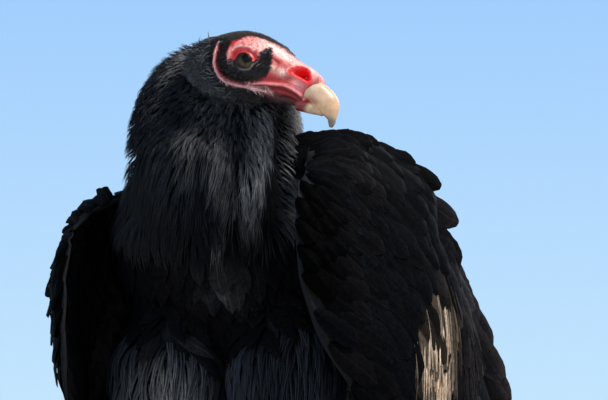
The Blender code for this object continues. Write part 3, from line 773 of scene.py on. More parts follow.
# Feathers of the left shoulder, between the neck and the wing: root, tip and half width.
SHOULDER_FEATHERS = [
    ((57, -50, 337), (80, -46, 326), 7.0), ((57, -50, 344), (84, -44, 333), 7.5),
    ((57, -50, 350), (88, -41, 341), 8.0), ((57, -49, 354), (80, -42, 352), 8.0),
    ((60, -49, 356), (92, -39, 349), 8.0), ((70, -45, 357), (98, -35, 352), 7.5),
    ((78, -42, 357), (106, -31, 353), 7.0),
]
PLUME_COUNT = 290  # worn, narrow feathers that hang over the left wing
PLUME_TIP = [(0, 0.5), (0.3, 1), (0.65, 0.8), (0.9, 0.4), (1, 0.08)]
PLUME_TURN = 0.35  # radians that the plumes hang steeper than the feathers under them
# Flight feathers: where the first to the last start and end along the wing, how many, their
# reach across it, half width, how deep they lie, and the middle of their strip of the map.
FLIGHT_FEATHERS = [
    ((150, 142, 134), (440, 446, 372, 330), 10, (0.24, 0.86), 15.0, 17.4, 0.26),  # primaries
    ((104, 108, 114, 118), (256, 296, 310, 286), 16, (0.06, 0.93), 13.0, 13.4, 0.74),  # secondaries
]


def bent(rng, spine, normal, amount):
    """Gives each feather its own small turn up or down towards the tip."""
    rings = spine.shape[1]
    share = np.linspace(0, 1, rings)[None, :, None] ** 2
    return spine + normal * (rng.normal(0, amount, len(spine))[:, None, None] * share)


def plume_tips(rng):
    """Where the worn plumes' tips lie, their stand-off, length and half width."""
    along = rng.uniform(92, 158, PLUME_COUNT)
    across = rng.uniform(0.50, 0.86, PLUME_COUNT)
    size = rng.uniform(0, 1, (3, PLUME_COUNT))
    return np.stack([along, across, 2.4 * size[0], 40 + 26 * size[1], 0.8 + 1.2 * size[2]], -1)


def add_wing_feathers(
    coat, rng, roots, side, rings, insets, lift, thick, camber, wobble, turn=0.06, inner=False,
    tilt=0, steeper=0.0, sunk=True, worn=LITTLE_WORN, tip=ROUND_TIP,
):
    """Feathers from their roots; the insets are how deep their roots and tips lie."""
    count = len(roots)
    heading = rng.normal(steeper, turn, count)
    root_inset, tip_inset = (np.broadcast_to(inset, count) for inset in insets)
    tip_inset = tip_inset + rng.uniform(-0.8, 0.5, count)
    spine, normal = wing_lines(roots, rings, heading, root_inset, tip_inset, side, lift, inner, sunk)
    spine = bent(rng, spine, normal, wobble)
    width = tapered(rings, tip)[None] * roots[:, 3:4]
    width = width * (1 + rng.normal(0, 0.035, width.shape))
    tint, edge = wing_tints(rng, spine, side, worn)
    thick = thick * (1 - 0.5 * np.linspace(0, 1, rings))
    camber = camber * tapered(rings, [(0, 0.4), (0.4, 1), (1, 0.7)])
    normal = tilted(spine, normal, tilt)
    coat.add(spine, normal, width, thick, camber, VANE_6, tint, edge, wing_uv(roots), roots[:, 2])


def add_shoulder_feathers(coat, rng):
    """The few feathers that close the gap between the neck and the left wing."""
    rings = 14
    share = np.linspace(0, 1, rings)[None, :, None]
    root, tip = (np.array([row[i] for row in SHOULDER_FEATHERS], float)[:, None] for i in (0, 1))
    half = np.array([row[2] for row in SHOULDER_FEATHERS])
    spine = root * (1 - share) + tip * share + np.array([0.3, -0.9, 0.6]) * 2.5 * np.sin(share * math.pi)
    normal = np.broadcast_to(unit(np.array([0.34, -0.86, 0.38])), spine.shape)
    width = half[:, None] * tapered(rings, ROUND_TIP)[None]
    width = width * (1 + rng.normal(0, 0.03, width.shape))
    tint, edge = wing_tints(rng, spine, "l")
    uv = np.stack([np.full(len(half), 0.03), 0.03 + 0.01 * np.arange(len(half))], -1)
    lengths = np.linalg.norm(tip - root, axis=2)[:, 0]
    coat.add(spine, normal, width, 0.4, 1.4, VANE_6, tint, edge, uv, lengths)


def make_coverts(side, material, rng):
    """The wing's small feathers and its lining, in place of its solids there."""
    solids = [f"wing_{side}_{part}" for part in ("arm", "coverts", "scapulars")]
    coverts = Coat(f"wing_{side}_covert_coat", material, "feather_black", solids)

    def add(roots, *shape, **more):
        """The shape: rings, insets, how they change, thickness, camber, wobble and turn."""
        add_wing_feathers(coverts, rng, roots, side, *shape, **more)

    roots = wing_rows(rng, covert_lines(), (0.0, 0.985))
    depth = np.interp(roots[:, 0], (-40, -24), (1.4, 4.4))
    add(roots, 10, (depth, -0.2), 0.75, 0.45, 1.3, 0.9, 0.07, tilt=5)
    roots = wing_rows(rng, GREATER_LINES, (0.03, 0.985))
    add(roots, 12, (8.6, 3.6), 0.8, 0.6, 1.8, 1.0, 0.04, tilt=6)
    roots = wing_rows(rng, SCAPULAR_LINES, (0.04, 0.40))
    add(roots, 12, (3.0, -2.2), 1.0, 0.55, 1.8, 1.2, 0.07, tilt=5)
    tips = np.array(PROUD[side])
    roll = PROUD_ROLL * WINGS[side][0]
    add(roots_of(tips), 18, (14.0, -tips[:, 2]), 2.2, 0.6, 1.6, 0.2, 0.0, tilt=roll, sunk=False)
    if side == "l":
        tips = plume_tips(rng)
        hanging = {"tilt": 12, "steeper": PLUME_TURN, "worn": 1.0, "tip": PLUME_TIP}
        add(roots_of(tips, PLUME_TURN), 14, (4.0, -tips[:, 2]), 0.7, 0.5, 0.6, 0.4, 0.05, **hanging)
        add_shoulder_feathers(coverts, rng)
    lining = wing_rows(rng, [(along, 30, 7.5) for along in range(-38, 72, 10)], (0.04, 0.98))
    thick = read_line(ARM_THICK, lining[:, 0])
    add(lining, 7, (thick - 1.5, 12.0), 0.8, 0.4, 1.2, 0.8, 0.1, inner=True)
    coverts.build()


def make_flight(side, material, rng):
    """The wing's long feathers, in place of its solids there."""
    rings = 22
    solids = [f"wing_{side}_{part}" for part in ("secondaries", "primaries")]
    flight = Coat(f"wing_{side}_flight", material, "feather_brown", solids)
    for start, end, count, reach, half, depth, map_row in FLIGHT_FEATHERS:
        at = (np.arange(count) + 0.5) / count
        along = np.interp(at, np.linspace(0, 1, len(start)), start)
        tip = np.interp(at, np.linspace(0, 1, len(end)), end)
        across = reach[0] + (reach[1] - reach[0]) * at
        roots = np.stack([along, across, tip - along, np.full(count, half)], -1)
        layer = depth + np.linspace(0.9, -0.9, count)
        width = roots[:, 3:4] * tapered(rings, FLIGHT_TIP)[None]
        heading = rng.normal(0, 0.012, count)
        spine, normal = wing_lines(roots, rings, heading, layer, layer - 2.4, side)
        spine = bent(rng, spine, normal, 0.8)
        tint, edge = wing_tints(rng, spine, side)
        patch = np.tile((0.9 / count, 0.42), (count, 1))
        uv = np.stack([at, np.full(count, map_row)], -1)
        width = width * (1 + rng.normal(0, 0.02, width.shape))
        normal = tilted(spine, normal, 9)
        flight.add(spine, normal, width, 0.7, 2.0, VANE_6, tint, edge, uv, roots[:, 2], patch)
    flight.build()


def make_wing(side, material):
    """One whole wing, laid feather by feather over its solids' places."""
    rng = np.random.default_rng(SEEDS[side])
    make_coverts(side, material, rng)
    make_flight(side, material, rng)


# ------------------------------------------------------------------- the tail


def tail_surface(along, place, inset):
    """Points of the tail's upper side, and about how it faces; place goes from side to side."""
    fall = math.radians(TAIL_FALL)
    back = np.array([0, math.cos(fall), -math.sin(fall)])
    up = np.array([0, math.sin(fall), math.cos(fall)])
    aside = 2 * place - 1
    turn = np.radians(TAIL_SPREAD) * aside
    x = aside * TAIL_HALF_ROOT + along * np.sin(turn)
    rise = -TAIL_ARCH * aside**2 - TAIL_DROOP * (along / 196) ** 2 - inset
    points = TAIL_ROOT + x[..., None] * np.array([1.0, 0, 0])
    points = points + (along * np.cos(turn))[..., None] * back + rise[..., None] * up
    return points, np.broadcast_to(up + aside[..., None] * (0.25, 0, 0), points.shape)


def make_tail(material):
    """The tail's feathers, fanned out on each other."""
    rng = np.random.default_rng(SEEDS["tail"])
    coat = Coat("tail_feathers", material, "feather_brown", ["tail"])
    count, rings = TAIL_FEATHERS, 22
    place = (np.arange(count) + 0.5) / count
    aside = np.abs(2 * place - 1)
    length = TAIL_LENGTH - 14 * aside**2
    along = np.linspace(0, 1, rings)[None] * length[:, None] - 6
    stack = 0.2 + 1.5 * aside[:, None] + 0 * along
    spine, normal = tail_surface(along, np.broadcast_to(place[:, None], along.shape), stack)
    width = 14.0 * tapered(rings, TAIL_TIP)
    width = np.broadcast_to(width, along.shape) * (1 + rng.normal(0, 0.02, along.shape))
    tint = mixed(BLACK, BROWN, rng.uniform(0.3, 0.9, count)) * TAIL_PALER
    edge = mixed(BROWN, EDGE_BROWN, rng.uniform(0.2, 1, count)) * TAIL_EDGE_PALER
    uv = np.stack([place, np.full(count, 0.5)], -1)
    patch = np.tile((0.9 / count, 0.9), (count, 1))
    coat.add(spine, unit(normal), width, 0.7, 1.4, VANE_6, tint, edge, uv, length, patch)
    coat.build()


# ------------------------------------------------------------------- the head


def head_frame():
    """The head's directions forward, to its right and up."""
    turn, dip = math.radians(HEAD_TURN), math.radians(HEAD_DIP)
    level = np.array([math.sin(turn), -math.cos(turn), 0.0])
    forward = level * math.cos(dip) - np.array([0, 0, math.sin(dip)])
    right = unit(np.cross(forward, (0, 0, 1)))
    return forward, right, np.cross(right, forward)


HEAD_AXES = np.stack(head_frame())


def in_head(forward, right, up):
    """The point at a place in the head's frame."""
    return HEAD_AT + np.stack(np.broadcast_arrays(forward, right, up), -1) @ HEAD_AXES


def from_head(points):
    """A point's forward, right and up in the head's frame."""
    return (points - HEAD_AT) @ HEAD_AXES.T


def head_oval(a, rise):
    """Half the head's width at a place forward, and its depth up or down, as `rise` goes."""
    place = np.interp(a, HEAD[:, 0], np.arange(len(HEAD)))
    half, crown, throat = np.moveaxis(smooth(HEAD, place)[..., 1:], -1, 0)
    return half, np.where(rise > 0, crown, throat)


def above_crown_line(a, u):
    """How far up a place is from the line where the crown's fuzz begins."""
    return u - read_line(CROWN_LINE, a)


def near_line(a, u, line, width):
    """1 on a line of the face, and less to its sides."""
    return bump(line_distance(a, u, line), width)


def near_spot(a, u, at, stretch, reach):
    """1 at a place on the face, and less around it; it is stretched forward and back."""
    return bump(np.hypot((a - at[0]) / stretch, u - at[1]), reach)


def eye_polar(a, u):
    """Distance and direction round the eye, flattened a little as its opening is."""
    x, y = a - EYE_AT[0] - 0.5, u - EYE_AT[2]
    turned = math.radians(-12)
    across = x * math.cos(turned) + y * math.sin(turned)
    rise = y * math.cos(turned) - x * math.sin(turned)
    return np.hypot(across, rise * 1.10), np.arctan2(rise, across)


def nostril_ring(a, u):
    """1 on the nostril's rim, less inside it. It dips to the front."""
    x, y = a - NOSTRIL_AT[0], u - NOSTRIL_AT[1]
    dip = math.radians(NOSTRIL_DIP)
    across = x * math.cos(dip) - y * math.sin(dip)
    rise = y * math.cos(dip) + x * math.sin(dip)
    rise = rise + 2.0 * (across / NOSTRIL_HALF[0]) ** 2 - 0.9
    return np.hypot(across / NOSTRIL_HALF[0], rise / NOSTRIL_HALF[1])


RING_ANGLES = (-180, -140, -110, -60, 0, 40, 75, 180)  # degrees round the eye from its front
RING_FULLNESS = (1, 0.8, 0.25, 0.15, 0.3, 0.7, 1, 1)


def eye_ring(a, u, spot):
    """The loose skin round the eye: distance, direction, a wavy distance, and how full it is,
    which is most above and behind."""
    distance, angle = eye_polar(a, u)
    full = np.interp(np.degrees(angle), RING_ANGLES, RING_FULLNESS)
    wavy = distance + 0.55 * ripple(spot, 25, 7.0) + 0.25 * ripple(spot, 26, 2.6)
    return distance, angle, wavy, full


# Raised folds and sunken grooves of the bare skin: line, height and width.
RIDGES = [
    (FOLD, 1.5, 0.95), (FOLD_GROOVE, -0.9, 1.0), (LIP, 0.85, 0.9), (GAPE, -1.5, 0.75),
    (BROW, 0.8, 2.0), (SLIT, -0.6, 1.1), (STREAK, 0.5, 2.4),
]
# Places forward from the nape to the brow, and how far the skin lies under the fuzz there.
CROWN_SUNK = (-33, -25, -18, -10, -4, 8, 20, 30), (5.0, 5.6, 5.2, 4.0, 3.0, 2.1, 0.9, 0.2)


def head_relief(a, theta, r, u):
    """How far the bare skin stands out of the head's plain shape."""
    flank = step(0.22, 0.5, np.abs(np.cos(theta)))
    lift = -0.35 * np.ones_like(a)
    for line, height, width in RIDGES:
        lift = lift + height * near_line(a, u, line, width) * flank
    lift = lift - 1.1 * near_spot(a, u, (16.5, 1), 1, 4.5) * flank
    lift = lift - 0.9 * step(14, 20, a) * step(-15, -19, u) * (1 - step(42, 46, a))
    lift = lift + 0.6 * bump(nostril_ring(a, u) - 1.25, 0.22) * flank

    # Fine creases over the eye, beside the nostril, along the top and on the cheek.
    spot = np.stack([a, r, u], -1)
    above_eye = step(4.5, 8, u) * (1 - step(13, 17, a)) * step(-6, -2, a)
    lift = lift + 0.45 * ripple(spot, 3, 2.4) * above_eye + 0.13 * ripple(spot, 5, 3.0)
    creases = np.sin(a * 3.1 + 0.6 * u + 1.5 * ripple(spot, 7, 8))
    lift = lift + 0.12 * creases * near_line(a, u, STREAK, 3.4)
    creases = np.sin(a * 1.5 + u * 2.2 + 2 * ripple(spot, 9, 9))
    lift = lift + 0.12 * creases * near_line(a, u, CULMEN, 5)
    creases = np.sin(u * 3.4 + a * 0.5 + 1.6 * ripple(spot, 6, 7))
    lift = lift + 0.14 * creases * step(24, 30, a) * step(-4, -8, u) * step(-14, -11, u)

    lift = lift - np.interp(a, *CROWN_SUNK) * step(-0.5, 4.0, above_crown_line(a, u))
    saddle = np.interp(a, (22, 29, 36, 42, 47), (0, 1.9, 1.9, 0.6, 0.3))
    lift = lift - saddle * step(0.3, 0.85, np.sin(theta))
    lift = lift - 1.6 * step(-14, -19, u) * step(26, 31, a) * (1 - step(37, 41, a))

    # The folds of loose skin round the eye.
    _, angle, wavy, full = eye_ring(a, u, spot)
    fullness = flank * full * (0.75 + 0.45 * ripple(spot, 27, 5.0))
    folds = 0.60 * bump(wavy - 9.6, 1.0) + 0.4 * bump(wavy - 11.8, 0.7)
    lift = lift + fullness * (folds + 0.3 * bump(wavy - 13.8, 0.6) * (angle > 0.4))
    return lift - flank * 0.25 * bump(wavy - 7.9, 0.8)


def with_lids(a, theta, r, u, new_r):
    """The lids lie on the eyeball, and the skin passes behind it inside their edge."""
    distance, angle = eye_polar(a, u)
    ball = EYE_R**2 - (a - EYE_AT[0]) ** 2 - (u - EYE_AT[2]) ** 2
    ball = np.sqrt(np.clip(ball, 0, None)) + EYE_AT[1]
    upper = step(-0.2, 0.8, np.sin(angle))
    opening = distance + 0.35 + 0.5 * upper * step(0.2, 1.0, np.sin(angle))
    lid = np.interp(opening, (5.15, 5.5, 6.0, 6.7), (-1.4, 0.15, 0.5, 0.55))
    lid = lid + 0.35 * upper * step(5.2, 6.0, opening)
    on_lid = (1 - step(6.5, 8.2, distance)) * (np.abs(np.cos(theta)) > 0.3)
    return np.sign(r) * (np.abs(new_r) * (1 - on_lid) + (ball + lid) * on_lid)


def under_horn(a, u, new_r, new_u):
    """Where the horn of the bill begins, the skin passes under it."""
    under = step(-0.2, 1.0, a - read_line(HORN_LINE, u))
    middle = np.where(u > -15.2, -9.0, -19.3)
    new_r = new_r * (1 - 0.24 * under)
    return new_r, middle + (new_u - middle) * (1 - np.where(u > -9, 0.58, 0.30) * under)


def sculpt_head(a, theta):
    """The bare head's places sideways and up, sculpted, and the same before sculpting."""
    half, depth = head_oval(a, np.sin(theta))
    r, u = half * np.cos(theta), depth * np.sin(theta)
    lift = head_relief(a, theta, r, u)
    normal_r, normal_u = np.cos(theta) / half, np.sin(theta) / depth
    size = np.hypot(normal_r, normal_u)
    new_r, new_u = r + lift * normal_r / size, u + lift * normal_u / size
    new_r = with_lids(a, theta, r, u, new_r)
    return *under_horn(a, u, new_r, new_u), r, u


def snout_layers(a, u, theta, mottle):
    """Colours of the bare skin between the eyes and the bill, and of the jaw, with their shares."""
    flank = step(0.15, 0.4, np.abs(np.cos(theta)))
    streaks = ripple(np.stack([a * 1.6 + 0.4 * u, 0 * a, u * 0.4], -1), 21, 4.0)
    # The jaw is painted dark: its own dark red deepened by a painted shade under the head, less towards
    # the front.
    jaw = step(-13.6, -17.0, u + 0.06 * (a - 20)) * step(6, 12, a) * (1 - 0.75 * step(34, 44, a))
    return [
        # The culmen and the top of the snout are pinker and paler: partly the skin's own paler tone,
        # partly a painted highlight where light falls on top.
        (PINK, near_line(a, u, CULMEN, 6.0) * 0.9),
        (PALE_PINK, near_line(a, u, CULMEN, 3.6) * (0.66 + 0.30 * mottle)),
        (PINK, (np.abs(np.cos(theta)) < 0.45) * step(14, 24, a) * (u > 0) * 0.7),
        (PINK, near_spot(a, u, (37.5, -7.6), 1.7, 3.0) * 0.9),
        (MAUVE, near_spot(a, u, (39, -11), 1.6, 2.2) * 0.7),
        (PINK, near_spot(a, u, (46.5, 0.5), 0.8, 3.2) * 0.6),
        (PINK, bump(nostril_ring(a, u) - 1.45, 0.22) * step(42, 36, a) * 0.6),
        (DEEP_RED, near_spot(a, u, (30, -6.0), 1.4, 2.0) * 0.85),
        (DEEP_RED, near_line(a, u, CHEEK_CREASE, 1.9) * 0.9),
        (STREAK_PINK, near_line(a, u, STREAK, 2.6) * (0.66 + 0.45 * streaks)),
        (DEEP_RED, near_line(a, u, SLIT, 2.1) * 0.9),
        (DEEP_RED, step(-12.4, -14.2, u) * step(14, 20, a) * 0.9),
        (SHADED_JAW_RED, jaw),
        # Painted shade: the underside below the jaw is darkened.
        (DARK, step(-18.6, -21.5, u) * 0.7),
        (DEEP_RED, step(-15, -18, u) * step(36, 42, a) * 0.6),
        (DARK, near_line(a, u, GAPE, 1.0) * 0.7),
        (PINK, near_line(a, u, LIP, 0.8) * flank * 0.9),
    ]


def eye_layers(a, u, theta, spot, fine):
    """Colours of the skin round the eye, with their shares."""
    flank = step(0.15, 0.4, np.abs(np.cos(theta)))
    distance, angle, wavy, full = eye_ring(a, u, spot)
    degrees = np.degrees(angle)
    above = inside(a, u, ABOVE_EYE)
    rough = 0.75 * ripple(spot, 17, 3.4) + 0.55 * ripple(spot, 18, 1.5)
    lower_lid = bump(distance - 6.4, 0.4) * step(-110, -75, degrees) * (1 - step(-8, 12, degrees))
    stripes = near_spot(a, u, (11.2, -2.6), 1.3, 1.9) * step(-0.1, 0.6, np.sin(a * 2.6 - u * 1.8))
    upper, lower = step(-0.2, 0.5, np.sin(angle)), step(0.3, -0.2, np.sin(angle))
    return [
        (PINK, step(-1.5, 1.5, above) * (0.75 + 0.35 * fine) * flank),
        (DEEP_RED, step(-0.5, 1.0, above) * step(0.15, 0.6, -fine) * 0.45 * flank),
        (PALE_PINK, bump(wavy - 9.8, 1.0) * full * flank * (0.35 + 0.55 * fine)),
        (RED, bump(wavy - 8.1, 1.0) * full * flank * 0.8),
        (DEEP_RED, bump(distance - 7.2, 0.8) * lower * full * flank * 0.9),
        (BRIGHT_RED, bump(wavy - 6.8, 0.9) * upper * flank * (0.5 + 0.5 * fine)),
        (DEEP_RED, near_spot(a, u, (9.6, 3.6), 0.8, 2.0) * 0.8),
        (DARK, step(-0.8, 0.5, inside(a, u, DARK_SKIN) + rough) * flank),
        (PINK, near_line(a, u, RING_TAIL, 0.75) * 0.8 * flank),
        (PALE_PINK, lower_lid * flank * 0.22),
        (PALE_PINK, stripes * 0.6),
        # The dark edge of the opening is wider behind the eye: partly the lid's dark rim, partly a painted
        # shadow of the lid.
        (DARK, (1 - step(5.0, 5.7 + 0.6 * (np.cos(angle) < 0), distance)) * flank),
    ]


def edge_layers(a, u, theta, mottle, fine):
    """Colours under the fuzz, of the cheek's fold and inside the nostril, with their shares."""
    flank = step(0.15, 0.4, np.abs(np.cos(theta)))
    top = step(-2.6, 2.6, above_crown_line(a, u) + 1.3 * mottle + 1.0 * fine)
    fold = near_line(a, u, FOLD, 0.85) * flank * np.interp(u, (-10, 3, 9), (0.95, 0.6, 0.0))
    fold_pink = mixed(PINK, PALE_PINK, np.full(a.shape, 0.25)) * np.array((0.72, 0.85, 0.95))
    hole = nostril_ring(a, u)
    return [
        (FUZZ_SKIN, top * (1 - step(19, 30, a)) * 0.95),
        (FUZZ_SKIN, top * step(0.75, 0.97, np.sin(theta)) * (1 - step(28, 36, a)) * 0.6),
        (FUZZ_SKIN, step(0.2, -0.7, inside(a, u, FACE)) * (1 - step(16, 20, a))),
        (FUZZ_SKIN, (1 - step(-9, -7.5, a)) * step(1, 4, u)),
        # Painted shade: the underside of the head behind the jaw is darkened.
        (DARK, step(-18.0, -19.4, u) * (1 - step(12, 18, a))),
        (fold_pink, fold * (1 - 0.6 * step(11, 17, a))),
        (BRIGHT_RED, bump(hole - 1.12, 0.16) * 0.8 * flank),
        (BRIGHT_RED, (1 - step(0.92, 1.08, hole)) * flank),
    ]


def paint_head(a, r, u, theta):
    """The bare head's colours."""
    spot = np.stack([a, r, u], -1)
    mottle, fine = ripple(spot, 11, 6.0), ripple(spot, 15, 2.2)
    colour = np.broadcast_to(np.array(RED), (*a.shape, 3))
    layers = snout_layers(a, u, theta, mottle)
    layers += eye_layers(a, u, theta, spot, fine)
    layers += edge_layers(a, u, theta, mottle, fine)
    for shade, share in layers:
        colour = mixed(colour, shade, np.clip(share, 0, 1))
    return colour * (0.94 + 0.10 * mottle[..., None])


HEAD_RINGS, HEAD_SIDES = 178, 216
PASSAGE_LEVELS = (0.8, 0.45, 0.0, -0.45, -0.8)  # of the nostril's passage, from right to left


def drawn_to_nostril(a, theta):
    """The grid with its points near the nostril's rim drawn onto it, so that the rim is clean."""
    _, depth = head_oval(a, np.sin(theta))
    u = depth * np.sin(theta)
    near = (np.abs(np.cos(theta)) > 0.35) & (np.abs(nostril_ring(a, u) - 1) < 0.075)
    for _ in range(3):
        scale = np.where(near, 1 / np.maximum(nostril_ring(a, u), 0.2), 1.0)
        a = np.where(near, NOSTRIL_AT[0] + (a - NOSTRIL_AT[0]) * scale, a)
        u = np.where(near, NOSTRIL_AT[1] + (u - NOSTRIL_AT[1]) * scale, u)
    _, depth = head_oval(a, u)
    risen = np.arcsin(np.clip(u / depth, -1, 1))
    return a, np.where(near, np.where(np.cos(theta) > 0, risen, math.pi - risen), theta)


def open_edges(faces):
    """Edges that only one of the faces has."""
    edges = {}
    for face in faces:
        for one, two in zip(face, np.roll(face, -1)):
            if (two, one) in edges:
                del edges[(two, one)]
            else:
                edges[(one, two)] = True
    return list(edges)


def nostril_passage(points, rim):
    """Points and quads that join the right nostril's rim to the left one's, through the head."""
    middle = in_head(NOSTRIL_AT[0] + 0.6, 0, NOSTRIL_AT[1] - 0.4)
    extra, index = [], {}
    for number in sorted({number for edge in rim for number in edge}):
        ring, turn = divmod(int(number), HEAD_SIDES)
        far = ring * HEAD_SIDES + (HEAD_SIDES // 2 - turn) % HEAD_SIDES
        index[number] = [number]
        for level in PASSAGE_LEVELS:
            share = (1 - level) / 2
            at = points[number] * (1 - share) + points[far] * share
            at = at + (middle - at) * 0.96 * (1 - level**2)
            index[number].append(len(points) + len(extra))
            extra.append(at)
        index[number].append(far)
    quads = [
        (index[one][k], index[two][k], index[two][k + 1], index[one][k + 1])
        for one, two in rim
        for k in range(len(PASSAGE_LEVELS) + 1)
    ]
    return np.array(extra), np.array(quads)


def head_map(a):
    """A place along the head as a share of its unwrap's height."""
    return (a + HEAD_MAP_FROM) / HEAD_MAP_SPAN


def head_grid():
    """The bare head as a grid from the nape to the bill, open right through at the nostril."""
    a = np.linspace(HEAD[0, 0], HEAD[-1, 0], HEAD_RINGS)[:, None]
    a, theta = drawn_to_nostril(*np.broadcast_arrays(a, ring_angles(HEAD_SIDES)[None]))
    new_r, new_u, r, u = sculpt_head(a, theta)
    points = in_head(a, new_r, new_u).reshape(-1, 3)
    colours = paint_head(a, r, u, theta).reshape(-1, 3)
    quads = grid_faces(HEAD_RINGS, HEAD_SIDES, closed=True)
    aside = np.cos(theta).ravel()
    hole = nostril_ring(a, u).ravel()[quads].mean(axis=1) < 0.99
    hole = hole & (np.abs(aside)[quads].min(axis=1) > 0.3)

    # The passage between the two nostrils starts from the edges that the hole left open.
    rim = [(one, two) for one, two in open_edges(quads[hole]) if aside[one] > 0]
    extra, tunnel = nostril_passage(points, rim)
    # The passage is painted darker towards its middle: painted shade deep inside the nostril.
    deep = np.interp(np.abs(PASSAGE_LEVELS), (0, 0.8), (0.85, 1.0))
    passage = np.tile(deep, len(extra) // len(PASSAGE_LEVELS))[:, None] * BRIGHT_RED
    last = (HEAD_RINGS - 1) * HEAD_SIDES
    ends = [points[:HEAD_SIDES].mean(axis=0), points[last:].mean(axis=0)]
    fans = end_fans(HEAD_RINGS, HEAD_SIDES, len(points) + len(extra))
    points = np.concatenate([points, extra, ends])
    colours = np.concatenate([colours, passage, np.tile(DARK, (2, 1))])
    added = len(points) - a.size
    place = np.concatenate([a.ravel(), np.full(added, NOSTRIL_AT[0])])
    turn = np.concatenate([round_share(theta.ravel()), np.full(added, 0.25)])
    quads = np.concatenate([quads[~hole], tunnel])
    return points, quads, fans, colours, turn, head_map(place)


# ----------------------------------------------------------------- one skin


def frame_mesh(name):
    """A solid's points and triangles, in body millimetres."""
    mesh = frame["nodes"][name].data
    points = np.empty(len(mesh.vertices) * 3, np.float32)
    mesh.vertices.foreach_get("co", points)
    mesh.calc_loop_triangles()
    faces = np.empty(len(mesh.loop_triangles) * 3, np.int32)
    mesh.loop_triangles.foreach_get("vertices", faces)
    return points.reshape(-1, 3).astype(float) / MM + CENTRE, faces.reshape(-1, 3)


def fused(shells, voxel, rounds):
    """One even, smoothed surface round several overlapping closed shells."""
    points, faces, offset = [], [], 0
    for shell_points, shell_faces in shells:
        points.append(shell_points)
        faces += [tuple(int(i) + offset for i in face) for face in shell_faces]
        offset += len(shell_points)
    mesh = bpy.data.meshes.new("shells")
    mesh.from_pydata([tuple(p) for p in (np.concatenate(points) - CENTRE) * MM], [], faces)
    obj = new_object("shells", mesh)
    remesh = obj.modifiers.new("even", "REMESH")
    remesh.mode, remesh.voxel_size = "VOXEL", voxel * MM
    soften = obj.modifiers.new("soften", "SMOOTH")
    soften.factor, soften.iterations = 0.5, rounds
    made = bpy.data.meshes.new_from_object(obj.evaluated_get(bpy.context.evaluated_depsgraph_get()))
    bpy.data.objects.remove(obj)
    points, normals = np.empty((2, len(made.vertices) * 3), np.float32)
    made.vertices.foreach_get("co", points)
    made.vertex_normals.foreach_get("vector", normals)
    loops = np.empty(len(made.loops), np.int32)
    made.loops.foreach_get("vertex_index", loops)
    points, normals = (values.reshape(-1, 3).astype(float) for values in (points, normals))
    return points / MM + CENTRE, normals, loops.reshape(-1, 4)


def tube(centres, sides, ups, half, above, below, count, power=2.0):
    """A closed shell of oval rings: its points, and faces of quads and end fans."""
    angle = ring_angles(count)
    c, s = np.cos(angle), np.sin(angle)
    reach = (np.abs(c) ** power + np.abs(s) ** power) ** (-1 / power)
    across = (c * reach)[None] * half[:, None]
    rise = (s * reach)[None]
    rise = np.where(rise > 0, rise * above[:, None], rise * below[:, None])
    points = centres[:, None] + across[..., None] * sides[:, None] + rise[..., None] * ups[:, None]
    rings = len(centres)
    points = np.concatenate([points.reshape(-1, 3), centres[:1], centres[-1:]])
    return points, grid_faces(rings, count, closed=True), end_fans(rings, count, rings * count)


def limb(rows, steps, count, side=(1.0, 0, 0)):
    """A tube along a table of rows."""
    places = np.linspace(0, len(rows) - 1, steps)
    read = smooth(rows, places)
    heading = unit(np.gradient(read[:, :3], axis=0))
    up = unit(np.cross(np.asarray(side, float), heading))
    across = np.cross(heading, up)
    return tube(read[:, :3], across, up, read[:, 3], read[:, 4], read[:, 5], count)


def toe_rows(sign, spec):
    """A toe's rows, with scutes as low steps along its top, and its heading."""
    turn, length, thick, _ = spec
    angle = math.radians(turn)
    heading = np.array([math.sin(angle) * sign, -math.cos(angle), 0.0])
    foot = FOOT_AT * (sign, 1, 1)
    shares = np.linspace(0, 1, 46)
    knots = np.array([0.0, 0.3, 0.42, 0.62, 0.74, 0.92, 1.0])
    bulge = np.interp(shares, knots, 1.0 + 0.14 * np.cos(knots * 2 * math.pi / 0.32))
    radius = thick * (1.12 - 0.3 * shares) * bulge
    scute = 0.42 * np.abs(np.sin(shares * length / 4.2 * math.pi)) ** 0.6 - 0.2
    centre = foot + heading * (shares * length)[:, None]
    centre[:, 2] = radius * 0.82
    return np.column_stack([centre, radius, radius + scute, radius]), heading


def foot_shells(sign):
    """The overlapping shells of one foot: its toes, its hub and the shank."""
    shells = []
    for spec in TOES.values():
        rows, heading = toe_rows(sign, spec)
        shells.append(limb(rows, 46, 18, side=unit(np.cross(heading, (0, 0, 1)))))
    angle = np.linspace(0, math.pi, 14)
    hub = FOOT_AT * (sign, 1, 1) + (0.3, 0.4, 0.6)
    across = HUB_R * np.sin(angle) + 0.01
    centres = hub + np.stack([0 * angle, 0 * angle, -HUB_R * np.cos(angle)], -1)
    sides, ups = (np.broadcast_to(way, centres.shape) for way in ((1.0, 0, 0), (0, 1.0, 0)))
    shells.append(tube(centres, sides, ups, across, across, across, 24))
    shells.append(limb(SHIN * (sign, 1, 1, 1, 1, 1), 40, 20))
    return [(points, [*quads, *ends]) for points, quads, ends in shells]


TRUNK_VOXEL, TRUNK_ROUNDS = 3.4, 14  # how finely the trunk's skin is made, and smoothed
FOOT_VOXEL, FOOT_ROUNDS = 1.25, 2
ARM_LENGTH, ARM_MAP_FROM, ARM_MAP_SPAN = 106, 40, 110
RUMP_DEPTH = 2.2
COAT_HEIGHTS = (72, 110, 200, 300, 350, 380, 400, 424)
COAT_DEPTHS = (1.5, 5, 7, 8, 9.5, 8, 5.5, 4.5)


def coat_depth(points):
    """How far the skin lies inside the coat's own outline."""
    return np.interp(points[:, 2], COAT_HEIGHTS, COAT_DEPTHS)


